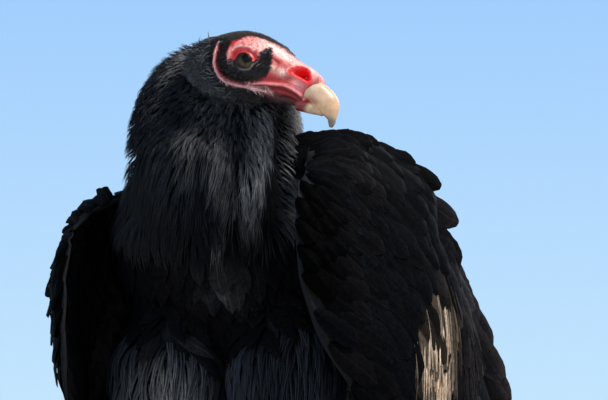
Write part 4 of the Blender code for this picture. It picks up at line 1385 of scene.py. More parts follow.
def trunk_skin():
    """The skin of the trunk, neck and thighs, under the coat."""
    nodes = ("belly", "breast", "neck", "neck_ruff", "thigh_l", "thigh_r", "tail_coverts")
    points, normals, quads = fused([frame_mesh(name) for name in nodes], TRUNK_VOXEL, TRUNK_ROUNDS)
    depth = coat_depth(points)
    rump = step(130, 165, points[:, 1])
    depth = depth * (1 - rump) + RUMP_DEPTH * rump
    return points - normals * depth[:, None], quads


def arm_shell(side):
    """The flesh of the wing's arm, under its coverts: points, quads and place on the map."""
    along = (WING[0, 0] + 0.3 + ARM_LENGTH * np.linspace(0, 1, 40) ** 1.8)[:, None]
    across = np.linspace(0.02, 0.985, 50)[None]
    along, across = np.broadcast_arrays(along, across)
    thick = read_line(ARM_THICK, along) - 1.4
    sunk = np.interp(along, (-40, -24), (1.0, 4.4)) + hollow(side, along, across)
    outer = hung(wing_surface(along, across, sunk), side)
    inner = hung(wing_surface(along, across, np.maximum(thick, sunk + 1.0)), side)
    rows, columns = along.shape
    number = np.arange(rows * columns).reshape(rows, columns)
    rim = np.concatenate([number[0, :-1], number[:-1, -1], number[-1, :0:-1], number[:0:-1, 0]])
    after = np.roll(rim, -1)
    wall = np.stack([rim, after, after + number.size, rim + number.size], -1)
    quads = grid_faces(rows, columns)
    faces = np.concatenate([quads, quads[:, ::-1] + number.size, wall[:, ::-1]])
    if side == "l":
        faces = faces[:, ::-1]
    points = np.concatenate([outer.reshape(-1, 3), inner.reshape(-1, 3)])
    place = (along.ravel() + ARM_MAP_FROM) / ARM_MAP_SPAN
    return points, faces, np.tile(across.ravel(), 2), np.tile(place, 2)


def make_skin(materials):
    """One skin: the bare head, the trunk and thighs, the arms and the legs."""
    parts = []

    def take(points, quads, colour, material, u, v, box, triangles=()):
        """Adds a part, its unwrap in a box of the map."""
        quads = np.asarray(quads).reshape(-1, 4)
        triangles = np.asarray(triangles, int).reshape(-1, 3)
        uv = np.split(seam_uvs(quads, triangles, u, v, box), [quads.size])
        parts.append((points, quads, triangles, np.broadcast_to(colour, points.shape), material, *uv))

    head, quads, ends, colours, turn, place = head_grid()
    take(head, quads, colours, 0, turn, place, (0, 0, 0.5, 0.5), ends)
    trunk, trunk_quads = trunk_skin()
    take(trunk, trunk_quads, BODY_SKIN, 1, *body_place(trunk), (0, 0.5, 1, 0.5))
    for number, side in enumerate(WINGS):
        arm, quads, u, v = arm_shell(side)
        take(arm, quads, BODY_SKIN, 1, u, v, (0.5, 0.25 * number, 0.24, 0.24))
    for number, sign in enumerate((1, -1)):
        foot, _, quads = fused(foot_shells(sign), FOOT_VOXEL, FOOT_ROUNDS)
        foot[:, 2] = np.maximum(foot[:, 2], 0.02)
        off = foot - FOOT_AT * (sign, 1, 1)
        u = round_share(np.arctan2(off[:, 1], off[:, 0]))
        v = np.hypot(off[:, 0], off[:, 1]) / 90 + off[:, 2] / 400 + 0.02
        pale = mixed(LEG_PALE, LEG_DARK, np.clip(0.4 + 0.6 * ripple(foot, 19, 9), 0, 1))
        take(foot, quads, pale, 2, u, v, (0.75, 0.25 * number, 0.24, 0.24))
    points, quads, triangles, colours, kinds, quad_uvs, triangle_uvs = zip(*parts)
    kinds = np.repeat(kinds * 2, [len(faces) for faces in (*quads, *triangles)])
    uv = np.concatenate([*quad_uvs, *triangle_uvs])
    mesh = joined(points, quads, triangles)
    obj = add_mesh("skin", *mesh, materials, np.concatenate(colours), uv, kinds=kinds)
    replaced = ["belly", "breast", "neck", "neck_ruff", "head", "jaw", "tail_coverts"]
    replaced += [f"{part}_{side}" for part in ("thigh", "shin", "foot") for side in "lr"]
    settle(obj, "skin_red", replaced)
    return trunk, trunk_quads


# ----------------------------------------------------------- the body's coat


def scatter(points, quads, spacing, rng, tries=9):
    """Even random places on a surface, no two nearer than the spacing where they lie."""
    corners = points[quads]
    middle = corners.mean(axis=1)
    diagonals = corners[:, 2] - corners[:, 0], corners[:, 3] - corners[:, 1]
    area = np.linalg.norm(np.cross(*diagonals), axis=1) / 2
    apart = spacing(middle)
    weight = area / apart**2
    count = int(weight.sum() * tries * 0.7)
    face = rng.choice(len(quads), count, p=weight / weight.sum())
    u, v = rng.uniform(0, 1, (2, count, 1))
    first, second, third, fourth = (corners[face, corner] for corner in range(4))
    place = (first * (1 - u) + second * u) * (1 - v) + (fourth * (1 - u) + third * u) * v
    apart = apart[face]
    cell_size = float(apart.max())
    cells, kept = {}, []
    keys = np.floor(place / cell_size).astype(int)
    around = [(i, j, k) for i in (-1, 0, 1) for j in (-1, 0, 1) for k in (-1, 0, 1)]
    for number, (key, spot, gap) in enumerate(zip(map(tuple, keys), place.tolist(), apart.tolist())):
        x, y, z = spot
        others = (
            other
            for i, j, k in around
            for other in cells.get((key[0] + i, key[1] + j, key[2] + k), ())
        )
        if all((ox - x) ** 2 + (oy - y) ** 2 + (oz - z) ** 2 >= gap * gap for ox, oy, oz in others):
            cells.setdefault(key, []).append(spot)
            kept.append(number)
    return place[kept]


def surface_tree(points, quads):
    """The surface, ready to be asked for its nearest place."""
    return BVHTree.FromPolygons([tuple(p) for p in points.tolist()], quads.tolist())


def nearest(tree, points):
    """The nearest places on a surface, and the directions out of it there."""
    found, out = np.empty_like(points), np.empty_like(points)
    for number, point in enumerate(points.tolist()):
        spot, normal, _, _ = tree.find_nearest(point)
        found[number], out[number] = spot, normal
    return found, out


def lie_lines(tree, roots, flow, lengths, heights, rings, lift=1.6):
    """Middle lines of feathers that rise from the skin and then lie along it."""
    spot, normal = nearest(tree, roots)
    direction = flat_on(flow, normal)
    lines, normals = [], []
    shares = np.linspace(0, 1, rings)
    for number, share in enumerate(shares):
        lines.append(spot + normal * (heights * (0.06 + 0.94 * (1 - (1 - share) ** lift)))[:, None])
        normals.append(normal)
        if number < rings - 1:
            stride = lengths * (shares[number + 1] - share)
            ahead = spot + direction * stride[:, None]
            spot, new_normal = nearest(tree, ahead)
            normal = unit(normal * 0.45 + new_normal * 0.55)
            direction = flat_on(direction, normal)
    return np.stack(lines, 1), np.stack(normals, 1)


# Soft folds and hollows of the ruff: turn round the neck in degrees from straight ahead
# towards the bird's left, half spread, height from, height to, and how much the coat stands
# up there.
RUFF_FOLDS = [
    (52, 9, 322, 368, 1.1), (71, 6, 306, 370, -2.2), (87, 10, 296, 364, 0.9), (38, 4, 316, 348, -0.6),
    (25, 9, 328, 358, 0.5), (6, 9, 336, 358, 0.8), (-3, 9, 363, 371, -1.1), (12, 4, 318, 346, -0.5),
    (28, 24, 368, 384, 0.8), (-24, 20, 354, 374, 0.3), (-70, 26, 352, 392, 0.35),
    (-58, 9, 400, 414, -0.4), (-62, 28, 312, 356, -1.2), (-48, 34, 406, 424, 0.75),
    (180, 60, 392, 430, 0.4), (-150, 40, 385, 430, 0.3),
]


def ruff_turn(points):
    """Degrees round the ruff from straight ahead towards the bird's left."""
    off = points - RUFF_AXIS
    return np.degrees(np.arctan2(off[:, 0], -off[:, 1]))


def ruff_folds(points):
    """How far the ruff's coat stands up, or lies low below 0."""
    turn, height = ruff_turn(points), points[:, 2]
    total = np.zeros(len(points))
    for at, spread, low, high, rise in RUFF_FOLDS:
        level = step(low - 8, low + 8, height)
        total += rise * (bump(turn - at, spread) * level * (1 - step(high - 8, high + 8, height)))
    return total


# Places where the coat is greyer, partly faded feathers and partly a painted highlight on lit tufts:
# middle, reach, and how much.
FADED_AND_LIT_PLACES = [((16, -71, 280), (13, 20, 9), 0.3), ((-22, -46, 206), (22, 30, 22), 1.3)]

# The ruff's paler and blacker places, by where their feathers are rooted: turn, height, how far each
# reaches, and how much of the faded colour there is (below nothing, blacker). The paler places are partly
# faded feathers and partly painted highlights on the lit lobes; the blacker places are painted shade, in
# the hollow under the chin and on the hood's shaded side and lower part.
RUFF_FADE_LIGHT_AND_SHADE = [
    (20, 385, 20, 16, 0.30), (42, 378, 10, 10, 0.45), (56, 352, 9, 24, 1.15), (92, 342, 13, 34, 1.4),
    (92, 368, 6, 14, 1.0), (3, 352, 9, 10, 0.45), (24, 344, 7, 14, 0.40), (24, 296, 7, 8, 0.5),
    (44, 324, 12, 14, 0.6), (-10, 404, 14, 8, 0.40), (-45, 365, 26, 32, -0.35),
    (72, 372, 8, 15, -0.95), (71, 340, 6, 26, -0.8), (-20, 310, 45, 14, -0.3),
]


def faded_and_lit(points):
    """How much of the pale grey the coat has away from the ruff, partly the feathers' own fading and
    partly a painted highlight.
    """
    total = np.zeros(len(points))
    for middle, reach, amount in FADED_AND_LIT_PLACES:
        near = bump(np.linalg.norm((points - middle) / reach, axis=1), 1.0)
        total = np.maximum(total, amount * near)
    return total


def ruff_fade_light_and_shade(points):
    """How much of the pale grey the ruff has, partly the feathers' own fading and partly a painted
    highlight, or how much blacker it is with painted shade, below 0.
    """
    turn, total = ruff_turn(points), np.zeros(len(points))
    for at, height, spread, reach, amount in RUFF_FADE_LIGHT_AND_SHADE:
        off = np.hypot((turn - at) / spread, (points[:, 2] - height) / reach)
        total = total + amount * bump(off, 1.0)
    return np.clip(total, -0.95, 1)


def head_share(points):
    """The places forward, aside and up of points, the head's half width there, and how far
    out they lie as a share of its depth and width."""
    a, r, u = np.moveaxis(from_head(points), -1, 0)
    half, depth = head_oval(np.clip(a, HEAD[0, 0], HEAD[-1, 0]), u)
    return a, r, u, half, np.hypot(r / half, u / depth)


def clear_of_head(spine, margin):
    """Draws the coat's lines out of the bare head where they would pass through it."""
    a, r, u, half, share = head_share(spine)
    on_head = (a > HEAD[0, 0]) & (a < HEAD[-1, 0])
    wanted = 1 + margin / half
    scale = np.where(on_head & (share < wanted), wanted / np.maximum(share, 0.15), 1.0)
    return HEAD_AT + np.stack([a, r * scale, u * scale], -1) @ HEAD_AXES


def body_place(points):
    """Where points lie round the body, and along it, as shares."""
    place, _, turn, _ = along_axis(points, BODY)
    return round_share(turn), place / (len(BODY) - 1)


def on_map(u, v):
    """Shares as places on the map, a little inside its edges."""
    return np.stack([0.01 + 0.97 * u, 0.01 + 0.97 * v], -1)


def strands(coat, rng, spine, normal, lengths, half, opening, count, fan_out, tint, uv):
    """Splits tufts into hair-like strands; `opening` is how their gaps change to the tips."""
    rings, total = spine.shape[1], len(spine)
    share = np.linspace(0, 1, rings)
    side = unit(np.cross(unit(np.gradient(spine, axis=1)), normal))
    edge = tint * 1.15
    for number in range(count):
        lean = (number - (count - 1) / 2) / max(count - 1, 1) * 2 + rng.uniform(-0.5, 0.5, total)
        out = lean[:, None] * half * (2.6 + opening * share[None] ** 1.6)
        out = out + rng.normal(0, fan_out, total)[:, None] * share[None] ** 2
        up = rng.uniform(-0.5, 0.7, total)[:, None] * share[None]
        line = spine + side * out[..., None] + normal * up[..., None]
        length = rng.uniform(0.82, 1.12, total)
        line = line[:, :1] + (line - line[:, :1]) * length[:, None, None]
        width = half * tapered(rings, HAIR_TIP)[None] * rng.uniform(0.75, 1.25, total)[:, None]
        shade = tint * rng.uniform(0.9, 1.1, (total, 1))
        coat.add(line, normal, width, width * 1.1, 0.0, VANE_3, shade, edge, uv, lengths)


# The coat's regions on the trunk's skin, and how far apart its roots are in each.
IN_RUFF, ON_NECK, ON_BODY, ON_LEFT_THIGH, ON_RIGHT_THIGH, ON_RUMP = range(6)
ROOT_SPACING = (1.9, 2.5, 6.2, 4.4, 4.4, 6.5)
# Tufts of a region: length and its spread, number of strands and how they spread, their half
# width, how their gaps change to the tips, and how high they lie as a share of the coat's depth.
RUFF_TUFT = (13.5, 3.0, 6, 0.7, 0.23, 1.8, 1.0)
NECK_TUFT = (19.0, 4.0, 6, 0.9, 0.30, 1.6, 1.02)
THIGH_TUFT = (29.0, 5.0, 4, 0.9, 0.85, -2.2, 1.05)
RUMP_HEIGHT = 3.5  # how far the rump's feathers lie off the skin
THIGH_TOP, RUMP_FROM = 246, 140  # the thighs' coat is below this, and the rump's behind this
# No coat grows inside this share of the head's width and depth, forward of this place.
BARE_SHARE, BARE_FROM = 0.96, -30
# In the head's frame: where the hood's feathers point away from, and the middle and reach of
# the part of the hood that does so.
HOOD_AWAY_FROM, HOOD_AROUND, HOOD_REACH = (6.0, 0.0, 0.0), (-4.0, 0.0, 0.0), 52.0
FOLD_PULL = 0.22  # how strongly the hood's feathers turn towards its raised folds


def coat_regions(points):
    """Which region a place on the skin belongs to, and the way the coat lies there."""
    place, heading, _, share = along_axis(points, BODY)
    flow = -heading
    region = np.where(place >= RUFF_FROM, IN_RUFF, np.where(place >= NECK_FROM, ON_NECK, ON_BODY))
    low, behind = points[:, 2] < THIGH_TOP, points[:, 1] > RUMP_FROM
    for rows, sign, kind, allowed in (
        (THIGH, 1.0, ON_LEFT_THIGH, low),
        (THIGH, -1.0, ON_RIGHT_THIGH, low),
        (RUMP, 1.0, ON_RUMP, behind),
    ):
        _, own_heading, _, own_share = along_axis(points, rows, sign)
        on = (own_share < share) & allowed
        region = np.where(on, kind, region)
        flow = np.where(on[:, None], own_heading, flow)
    return region, flow


def root_spacing(points):
    """How far apart the coat's roots are."""
    return np.choose(coat_regions(points)[0], ROOT_SPACING)


def coat_roots(rng, trunk, trunk_quads):
    """All that the coat needs to know at each of its roots on the trunk."""
    roots = scatter(trunk, trunk_quads, root_spacing, rng)
    a, _, _, _, share = head_share(roots)
    roots = roots[~((share < BARE_SHARE) & (a > BARE_FROM))]
    region, flow = coat_regions(roots)
    on_hood = region <= ON_NECK

    # The coat turns away from the face, and in the hood towards its folds.
    from_face = unit(roots - in_head(*HOOD_AWAY_FROM))
    off_face = np.linalg.norm(roots - in_head(*HOOD_AROUND), axis=1)
    near_face = bump(off_face, HOOD_REACH)[:, None]
    loose = np.where(on_hood, 0.10, 0.12)[:, None]
    flow = flow + from_face * near_face * 1.3 + rng.normal(0, 1, roots.shape) * loose
    turn, pull = ruff_turn(roots), np.zeros(len(roots))
    for at, spread, _, _, rise in RUFF_FOLDS:
        pull += np.sign(rise) * (at - turn) / spread * bump(turn - at, spread * 1.4) * FOLD_PULL
    off = roots - RUFF_AXIS
    around = np.stack([-off[:, 1], off[:, 0], 0 * off[:, 0]], -1)
    flow = flow + unit(around) * np.where(on_hood, pull, 0)[:, None]
    grey = np.clip(faded_and_lit(roots) * rng.uniform(0.35, 1.15, len(roots)), 0, 1)
    return {
        "at": roots, "region": region, "flow": flow, "near_face": near_face[:, 0], "grey": grey,
        "folds": ruff_folds(roots), "depth": coat_depth(roots), "uv": on_map(*body_place(roots)),
    }


def roots_in(roots, region):
    """What is known of the roots in one region."""
    on = roots["region"] == region
    return {key: values[on] for key, values in roots.items()}


def add_tufts(coat, rng, tree, roots, region, tuft):
    """Tufts of hair-like strands over one region."""
    rings = 5
    length, spread, count, fan_out, half, opening, rise = tuft
    here = roots_in(roots, region)
    at, folds, total = here["at"], here["folds"], len(here["at"])
    height, on_hood = at[:, 2], region <= ON_NECK
    lengths = length + rng.normal(0, spread, total) * 0.6
    if not on_hood:
        lengths = lengths * np.interp(height, (70, 120), (0.45, 1))
    if region == IN_RUFF:
        lengths = lengths * np.interp(height, (322, 350, 380, 410), (1.15, 0.85, 0.62, 0.55))
        lengths = lengths * (1 + 0.25 * np.clip(folds, 0, 1)) * (1 - 0.25 * here["near_face"])
    lumps = ripple(at, 61, 17.0, 3) * on_hood
    heights = here["depth"] * rise * (1 + rng.normal(0, 0.045, total)) + folds * 7.0 + lumps * 1.3
    heights = np.maximum(heights, 1.0)
    spine, normal = lie_lines(tree, at, here["flow"], lengths, heights, rings, 2.2)
    spine = clear_of_head(spine, 0.8)
    bend = rng.normal(0, 0.6, (total, 1, 1)) * np.linspace(0, 1, rings)[None, :, None] ** 2
    spine = spine + np.cross(unit(np.gradient(spine, axis=1)), normal) * bend
    # The strands are painted darker in the folds' hollows, lighter on raised lumps and darker on sunken
    # ones: painted shade and light on the coat's relief.
    painted_hollow_shade = 1 - 0.85 * np.clip(-folds, 0, 1)
    shade = rng.uniform(0.92, 1.08, total) * painted_hollow_shade * (1 + 0.35 * lumps)
    # The ruff's paler places are partly faded feathers and partly painted highlights; its blacker places
    # are painted shade.
    pale = ruff_fade_light_and_shade(at) if on_hood else here["grey"]
    # Low on the hood the strands are blacker: partly their own black, partly a painted shade under the
    # hood's overhang.
    base = mixed(BLACK, SILK, step(300, 345, height) if on_hood else np.ones(total))
    tint = mixed(base, FADED_AND_LIT, np.clip(pale * rng.uniform(0.75, 1.1, total), 0, 1))
    tint = tint * (shade * (1 + np.minimum(pale, 0)))[:, None]
    strands(coat, rng, spine, normal, lengths, half, opening, count, fan_out, tint, here["uv"])


def add_soft_feathers(coat, rng, tree, roots, region, length, wide, rings):
    """Broad soft feathers over one region."""
    here = roots_in(roots, region)
    at, grey, total = here["at"], here["grey"], len(here["at"])
    lengths = length * rng.uniform(0.85, 1.15, total)
    heights = np.full(total, RUMP_HEIGHT)
    if region == ON_BODY:
        heights = here["depth"] * 1.05 * (1 + rng.normal(0, 0.12, total))
    spine, normal = lie_lines(tree, at, here["flow"], lengths, heights, rings)
    spine = bent(rng, clear_of_head(spine, 0.8), normal, 0.8)
    width = wide * tapered(rings, SOFT_TIP)[None] * rng.uniform(0.8, 1.15, (total, 1))
    width = width * (1 + rng.normal(0, 0.08, width.shape))
    brown = rng.uniform(0, 0.5, total)
    rear = step(0, 40, at[:, 1:2])
    # The greyer places are partly faded feathers and partly a painted highlight on lit tufts.
    tint = mixed(mixed(BLACK, BROWN, brown), FADED_AND_LIT, grey) * rng.uniform(0.7, 1.25, (total, 1))
    edge = mixed(mixed(WING_GLOSS, EDGE_BROWN, brown), FADED_AND_LIT, grey) * (1 + 4 * rear)
    tint, section = tint * (1 + 1.5 * rear), VANE_3 * (1, 1, 2.0)
    coat.add(spine, normal, width, 0.45, 0.0, section, tint, edge, here["uv"], lengths)


def make_body_coat(trunk, trunk_quads, silk, plain):
    """The coat of the hood, neck, trunk, thighs and rump."""
    rng = np.random.default_rng(SEEDS["body"])
    tree = surface_tree(trunk, trunk_quads)
    roots = coat_roots(rng, trunk, trunk_quads)
    ruff = Coat("ruff_coat", silk, "feather_black")
    body = Coat("body_coat", plain, "feather_black")
    thighs = Coat("thigh_coat", silk, "feather_black")
    rump = Coat("rump_coat", plain, "feather_brown")
    add_tufts(ruff, rng, tree, roots, IN_RUFF, RUFF_TUFT)
    add_tufts(ruff, rng, tree, roots, ON_NECK, NECK_TUFT)
    add_tufts(thighs, rng, tree, roots, ON_LEFT_THIGH, THIGH_TUFT)
    add_tufts(thighs, rng, tree, roots, ON_RIGHT_THIGH, THIGH_TUFT)
    add_soft_feathers(body, rng, tree, roots, ON_BODY, 30.0, 6.2, 7)
    add_soft_feathers(rump, rng, tree, roots, ON_RUMP, 42.0, 8.0, 9)
    for coat in (ruff, body, thighs, rump):
        coat.build()


# ------------------------------------------------------- bristles of the face


FACE_TRIES = 26000  # places tried for a hair of the face
HAIR_RINGS = 4
# Hairs of the face: shortest and longest, half width, how far they stand out, how they lie to
# the back and down and how unruly they are, colour, and the share of their places that is kept.
FACE_HAIRS = {
    "fuzz": ((1.2, 2.8), 0.085, 1.0, (1, 0), 0.75, (0.034, 0.027, 0.024), 0.9),
    "under": ((2.0, 3.8), 0.14, 0.9, (1, 1), 0.38, (0.0065, 0.0055, 0.0055), 0.9),
    "bristles": ((1.2, 2.8), 0.09, 1.0, (1, 0.7), 0.38, (0.006, 0.005, 0.005), 1.0),
    "collar": ((6.0, 11.0), 0.36, 4.4, (1, 0.6), 0.45, (0.030, 0.030, 0.032), 0.75),
    "fringe": ((3.6, 7.0), 0.055, 0.8, (-1, 0.62), 0.38, (0.74, 0.42, 0.38), 1.0),
    "fold": ((1.2, 2.4), 0.10, 0.7, (-0.4, 0.8), 0.38, (0.50, 0.28, 0.28), 1.0),
    "stray": ((0.8, 1.6), 0.06, 0.6, (1, 0), 0.38, (0.05, 0.02, 0.02), 1.0),
}


def face_normals(a, theta):
    """The directions out of the head's plain shape."""
    half, depth = head_oval(a, np.sin(theta))
    behind_half, behind_depth = head_oval(a - 0.5, np.sin(theta))
    slope = np.cos(theta) ** 2 * (half - behind_half) / half
    slope = slope + np.sin(theta) ** 2 * (depth - behind_depth) / depth
    out = np.stack([-slope / 0.5, np.cos(theta) / half, np.sin(theta) / depth], -1)
    return unit(out) @ HEAD_AXES


def face_masks(a, theta, u, draw):
    """Where each kind of hair grows on the face."""
    flank = np.abs(np.cos(theta)) > 0.3
    distance, _ = eye_polar(a, u)
    fold = line_distance(a, u, FOLD)
    fuzz = (above_crown_line(a, u) > -3.0 + 5.0 * draw) & (a < 28)
    fuzz = fuzz | ((a < -9) & (u > 1)) | ((a < 16) & (inside(a, u, FACE) < -1.2))
    bristles = (inside(a, u, DARK_SKIN) > -0.9) & flank & (distance > 7.0)
    stray = (~fuzz) & (~bristles) & (distance > 10) & (a < 34) & (u > -12) & (draw < 0.10)
    return {
        "fuzz": fuzz,
        "under": (u < -19) & (a < 20) & (fold > 1.4),
        "bristles": bristles,
        "collar": (inside(a, u, CLEAR_OF_HOOD) < 1.2 * draw - 0.6) & (a < 6),
        "fringe": (line_distance(a, u, MOUTH_FRINGE) < 1.3) & flank & (draw < 0.75),
        "fold": (fold < 1.2) & flank & (u < 2) & (a < 6) & (draw < 0.16),
        "stray": stray,
    }


def make_face_coat(silk):
    """Short fuzz on the crown and nape, and sparse bristles on the dark skin and the fold."""
    rng = np.random.default_rng(SEEDS["face"])
    a = rng.uniform(HEAD[0, 0], 34, FACE_TRIES)
    theta = rng.uniform(-math.pi, math.pi, FACE_TRIES)
    half, depth = head_oval(a, np.sin(theta))
    girth = np.hypot(half * np.sin(theta), depth * np.cos(theta))
    keep = rng.uniform(0, 1, FACE_TRIES) < girth / 24
    a, theta = a[keep], theta[keep]
    new_r, new_u, _, u = sculpt_head(a, theta)
    masks = face_masks(a, theta, u, rng.uniform(0, 1, len(a)))
    normal, root = face_normals(a, theta), in_head(a, new_r, new_u)
    shares = np.linspace(0, 1, HAIR_RINGS)
    coat = Coat("face_coat", silk, "feather_black")
    for kind, (length, half_width, height, lie, unruly, tint, share) in FACE_HAIRS.items():
        on = masks[kind] & (rng.uniform(0, 1, len(a)) < share)
        total, forward, up, out = int(on.sum()), a[on], u[on], normal[on]
        lengths = rng.uniform(*length, total)
        if kind == "fuzz":
            lengths = lengths * np.interp(forward, (-30, -14, 0, 20), (1.5, 1.2, 1.0, 0.55))
        flow = -HEAD_AXES[0] * lie[0] - HEAD_AXES[2] * lie[1]
        direction = flat_on(flow + rng.normal(0, unruly, (total, 3)), out)
        rise = height * (1 - (1 - shares) ** 2)[None] * np.ones((total, 1))
        if kind == "collar":
            rise = rise * np.interp(up, (-6, 8), (1.0, 0.2))[:, None]
        spine = root[on][:, None] + direction[:, None] * (lengths[:, None] * shares)[..., None]
        spine = spine + out[:, None] * rise[..., None]
        normals = np.broadcast_to(out[:, None], spine.shape)
        width = half_width * tapered(HAIR_RINGS, HAIR_TIP)[None] * rng.uniform(0.8, 1.25, (total, 1))
        shade = np.array(tint) * rng.uniform(0.55, 1.6, (total, 1))
        if kind == "collar":
            shade = shade * rng.uniform(0.15, 1.5, (total, 1))
        if kind == "fuzz":
            nape = np.interp(forward, (-13, -6), (0.16, 1.0))
            shade = shade * np.where(up < 12, nape, 1.0)[:, None]
        uv = on_map(round_share(theta[on]), head_map(forward))
        coat.add(spine, normals, width, width * 1.2, 0.0, VANE_3, shade, shade, uv, lengths)
    coat.build()


# --------------------------------------------------- eyes, bill and claws

UPPER_EDGE = [(43, -14.6), (48, -15.2), (53, -17.4), (57, -22)]
UPPER_ROOT = [(47, -14.6), (52, -16.0)]

PUPIL_TO, IRIS_TO = (20.0, 21.5), (37, 40)  # degrees from the gaze where each one ends
CORNEA_TO, CORNEA_RISE = math.radians(38), 0.32


def make_eyes(material):
    """Both eyes: a ball with a bulging front, dark pupil and brown iris, the iris painted darker towards
    its top as shade under the upper lid.
    """
    rings, count = 48, 64
    polar, angle = np.linspace(0, math.pi, rings), ring_angles(count)
    radius = EYE_R + CORNEA_RISE * np.clip(1 - (polar / CORNEA_TO) ** 2, 0, 1)
    turn = math.radians(GAZE)
    spread = np.concatenate([np.repeat(np.degrees(polar[1:-1]), count), [0, 180]])
    round_eye = np.concatenate([np.tile(angle / (2 * math.pi), rings - 2), [0.5, 0.5]])
    for side, sign, solid in (("right", 1, "eye_r"), ("left", -1, "eye_l")):
        gaze = unit(np.array([math.sin(turn), sign * math.cos(turn), 0.20]))
        aside = unit(np.cross(gaze, (0.0, 0, 1)))
        ring = np.cos(angle)[:, None] * aside + np.sin(angle)[:, None] * np.cross(aside, gaze)
        ball = np.cos(polar)[:, None, None] * gaze + np.sin(polar)[:, None, None] * ring
        centre = np.array([EYE_AT[0], sign * EYE_AT[1], EYE_AT[2]])
        points = centre + radius[:, None, None] * ball
        points = HEAD_AT + points[1:-1].reshape(-1, 3) @ HEAD_AXES
        poles = HEAD_AT + (centre + np.array([gaze * radius[0], -gaze * EYE_R])) @ HEAD_AXES
        quads = grid_faces(rings - 2, count, closed=True)[:, ::-1]
        ends = end_fans(rings - 2, count, len(points))[:, ::-1]
        points = np.concatenate([points, poles])
        local = from_head(points)
        flecks = 1 + 0.4 * ripple(local, 23, 2.2)[:, None]
        # The iris is painted darker towards its top: a painted shadow of the upper lid.
        lower = step(3, -4, local[:, 2] - EYE_AT[2])[:, None]
        brown = np.array(IRIS) * flecks * (0.35 + 1.1 * lower)
        iris = step(*PUPIL_TO, spread) * (1 - step(*IRIS_TO, spread))
        tint = mixed(np.tile(PUPIL, (len(points), 1)), brown, iris)
        tint = mixed(tint, EYE_RIM, step(39, 44, spread))
        uv = seam_uvs(quads, ends, round_eye, spread / 180)
        settle(add_mesh(f"eye_{side}", points, quads, ends, [material], tint, uv), "eye_brown", [solid])


def tube_map(shares, count):
    """How far round and along a tube its points and its two end points lie, as shares."""
    turn = np.append(np.tile(np.arange(count) / count, len(shares)), [0.5, 0.5])
    return turn, np.append(np.repeat(shares, count), [0, 1])


def horn(name, rows, power, tint_of, material, solid):
    """One half of the bill, bent in the head's middle plane."""
    steps, count = 60, 48
    places = np.linspace(0, len(rows) - 1, steps)
    read = smooth(rows, places)
    ahead = unit(np.gradient(read[:, :2], axis=0))
    forward, right, up = HEAD_AXES
    centres = HEAD_AT + read[:, :1] * forward + read[:, 1:2] * up
    ups = -ahead[:, 1:] * forward + ahead[:, :1] * up
    sides = np.broadcast_to(right, centres.shape)
    points, quads, ends = tube(centres, sides, ups, read[:, 2], read[:, 3], read[:, 3], count, power)
    outer = points[: steps * count]
    growth = np.sin(np.repeat(places, count) * 17 + 2 * ripple(outer, 29, 8)) * 0.05
    outer += unit(outer - np.repeat(centres, count, axis=0)) * growth[:, None]
    uv = seam_uvs(quads, ends, *tube_map(places / places[-1], count))
    obj = add_mesh(name, points, quads, ends, [material], tint_of(from_head(points), points), uv)
    settle(obj, "horn_ivory", [solid])


def grained(colours, points, seed):
    """From one colour to the other with the horn's grain."""
    return mixed(*colours, np.clip(0.5 + 0.5 * ripple(points, seed, 5.0), 0, 1))


def upper_tint(local, points):
    """The upper bill: ivory, amber below, with a browner edge, a red root and a grey hook."""
    a, _, u = local.T
    tint = grained(UPPER_HORN, points, 31)
    tint = mixed(tint, AMBER, step(-7, -17, u) * 0.75)
    tint = mixed(tint, HORN_EDGE, near_line(a, u, UPPER_EDGE, 2.4) * 0.7)
    tint = mixed(tint, HORN_RED, near_line(a, u, UPPER_ROOT, 1.6) * 0.7)
    return mixed(tint, HOOK_GREY, step(-20.0, -24.5, u) * 0.9)


def lower_tint(local, points):
    """The lower bill: ivory, dark red at its root."""
    root = 1 - step(44.5, 48.5, local[:, 0] - 0.5 * local[:, 2] - 10)
    return mixed(grained(LOWER_HORN, points, 37), LOWER_ROOT, root)


def make_bill(material):
    """The bill's two halves."""
    horn("upper_bill", BILL_TOP, 2.35, upper_tint, material, "bill_upper")
    horn("lower_bill", BILL_LOW, 2.2, lower_tint, material, "bill_lower")


def claws(sign):
    """One foot's claws: points, quads, end triangles, colours, and places round and along."""
    steps, count = 22, 20
    share = np.linspace(0, 1, steps)
    turn, place = tube_map(share, count)
    for spec in TOES.values():
        rows, heading = toe_rows(sign, spec)
        _, _, thick, length = spec
        start = rows[-1, :3] + heading * 0.05
        start[2] = thick * 0.72
        middle = start + (share * length)[:, None] * heading
        middle[:, 2] = start[2] + 1.4 * np.sin(share * math.pi) - (start[2] - 1.2) * share**2
        width = thick * 0.62 * (1 - share) ** 0.75 + 0.3
        across = np.broadcast_to(unit(np.cross(heading, (0, 0, 1))), middle.shape)
        tall = np.broadcast_to((0.0, 0, 1), middle.shape)
        shape = tube(middle, across, tall, width * 0.8, width, width, count)
        yield *shape, mixed(CLAW_DARK, CLAW_PALE, place), turn * 0.9, place


def make_claws(material):
    """Each foot's claws, as one piece."""
    for side, sign in (("l", 1), ("r", -1)):
        points, quads, triangles, *rest = zip(*claws(sign))
        points, quads, triangles = joined(points, quads, triangles)
        tint, turn, place = (np.concatenate(values) for values in rest)
        uv = seam_uvs(quads, triangles, turn, place)
        obj = add_mesh(f"claws_{side}", points, quads, triangles, [material], tint, uv)
        settle(obj, "claw_horn", [f"claw_{side}_{toe}" for toe in TOES])


# ------------------------------------------------------------------ materials


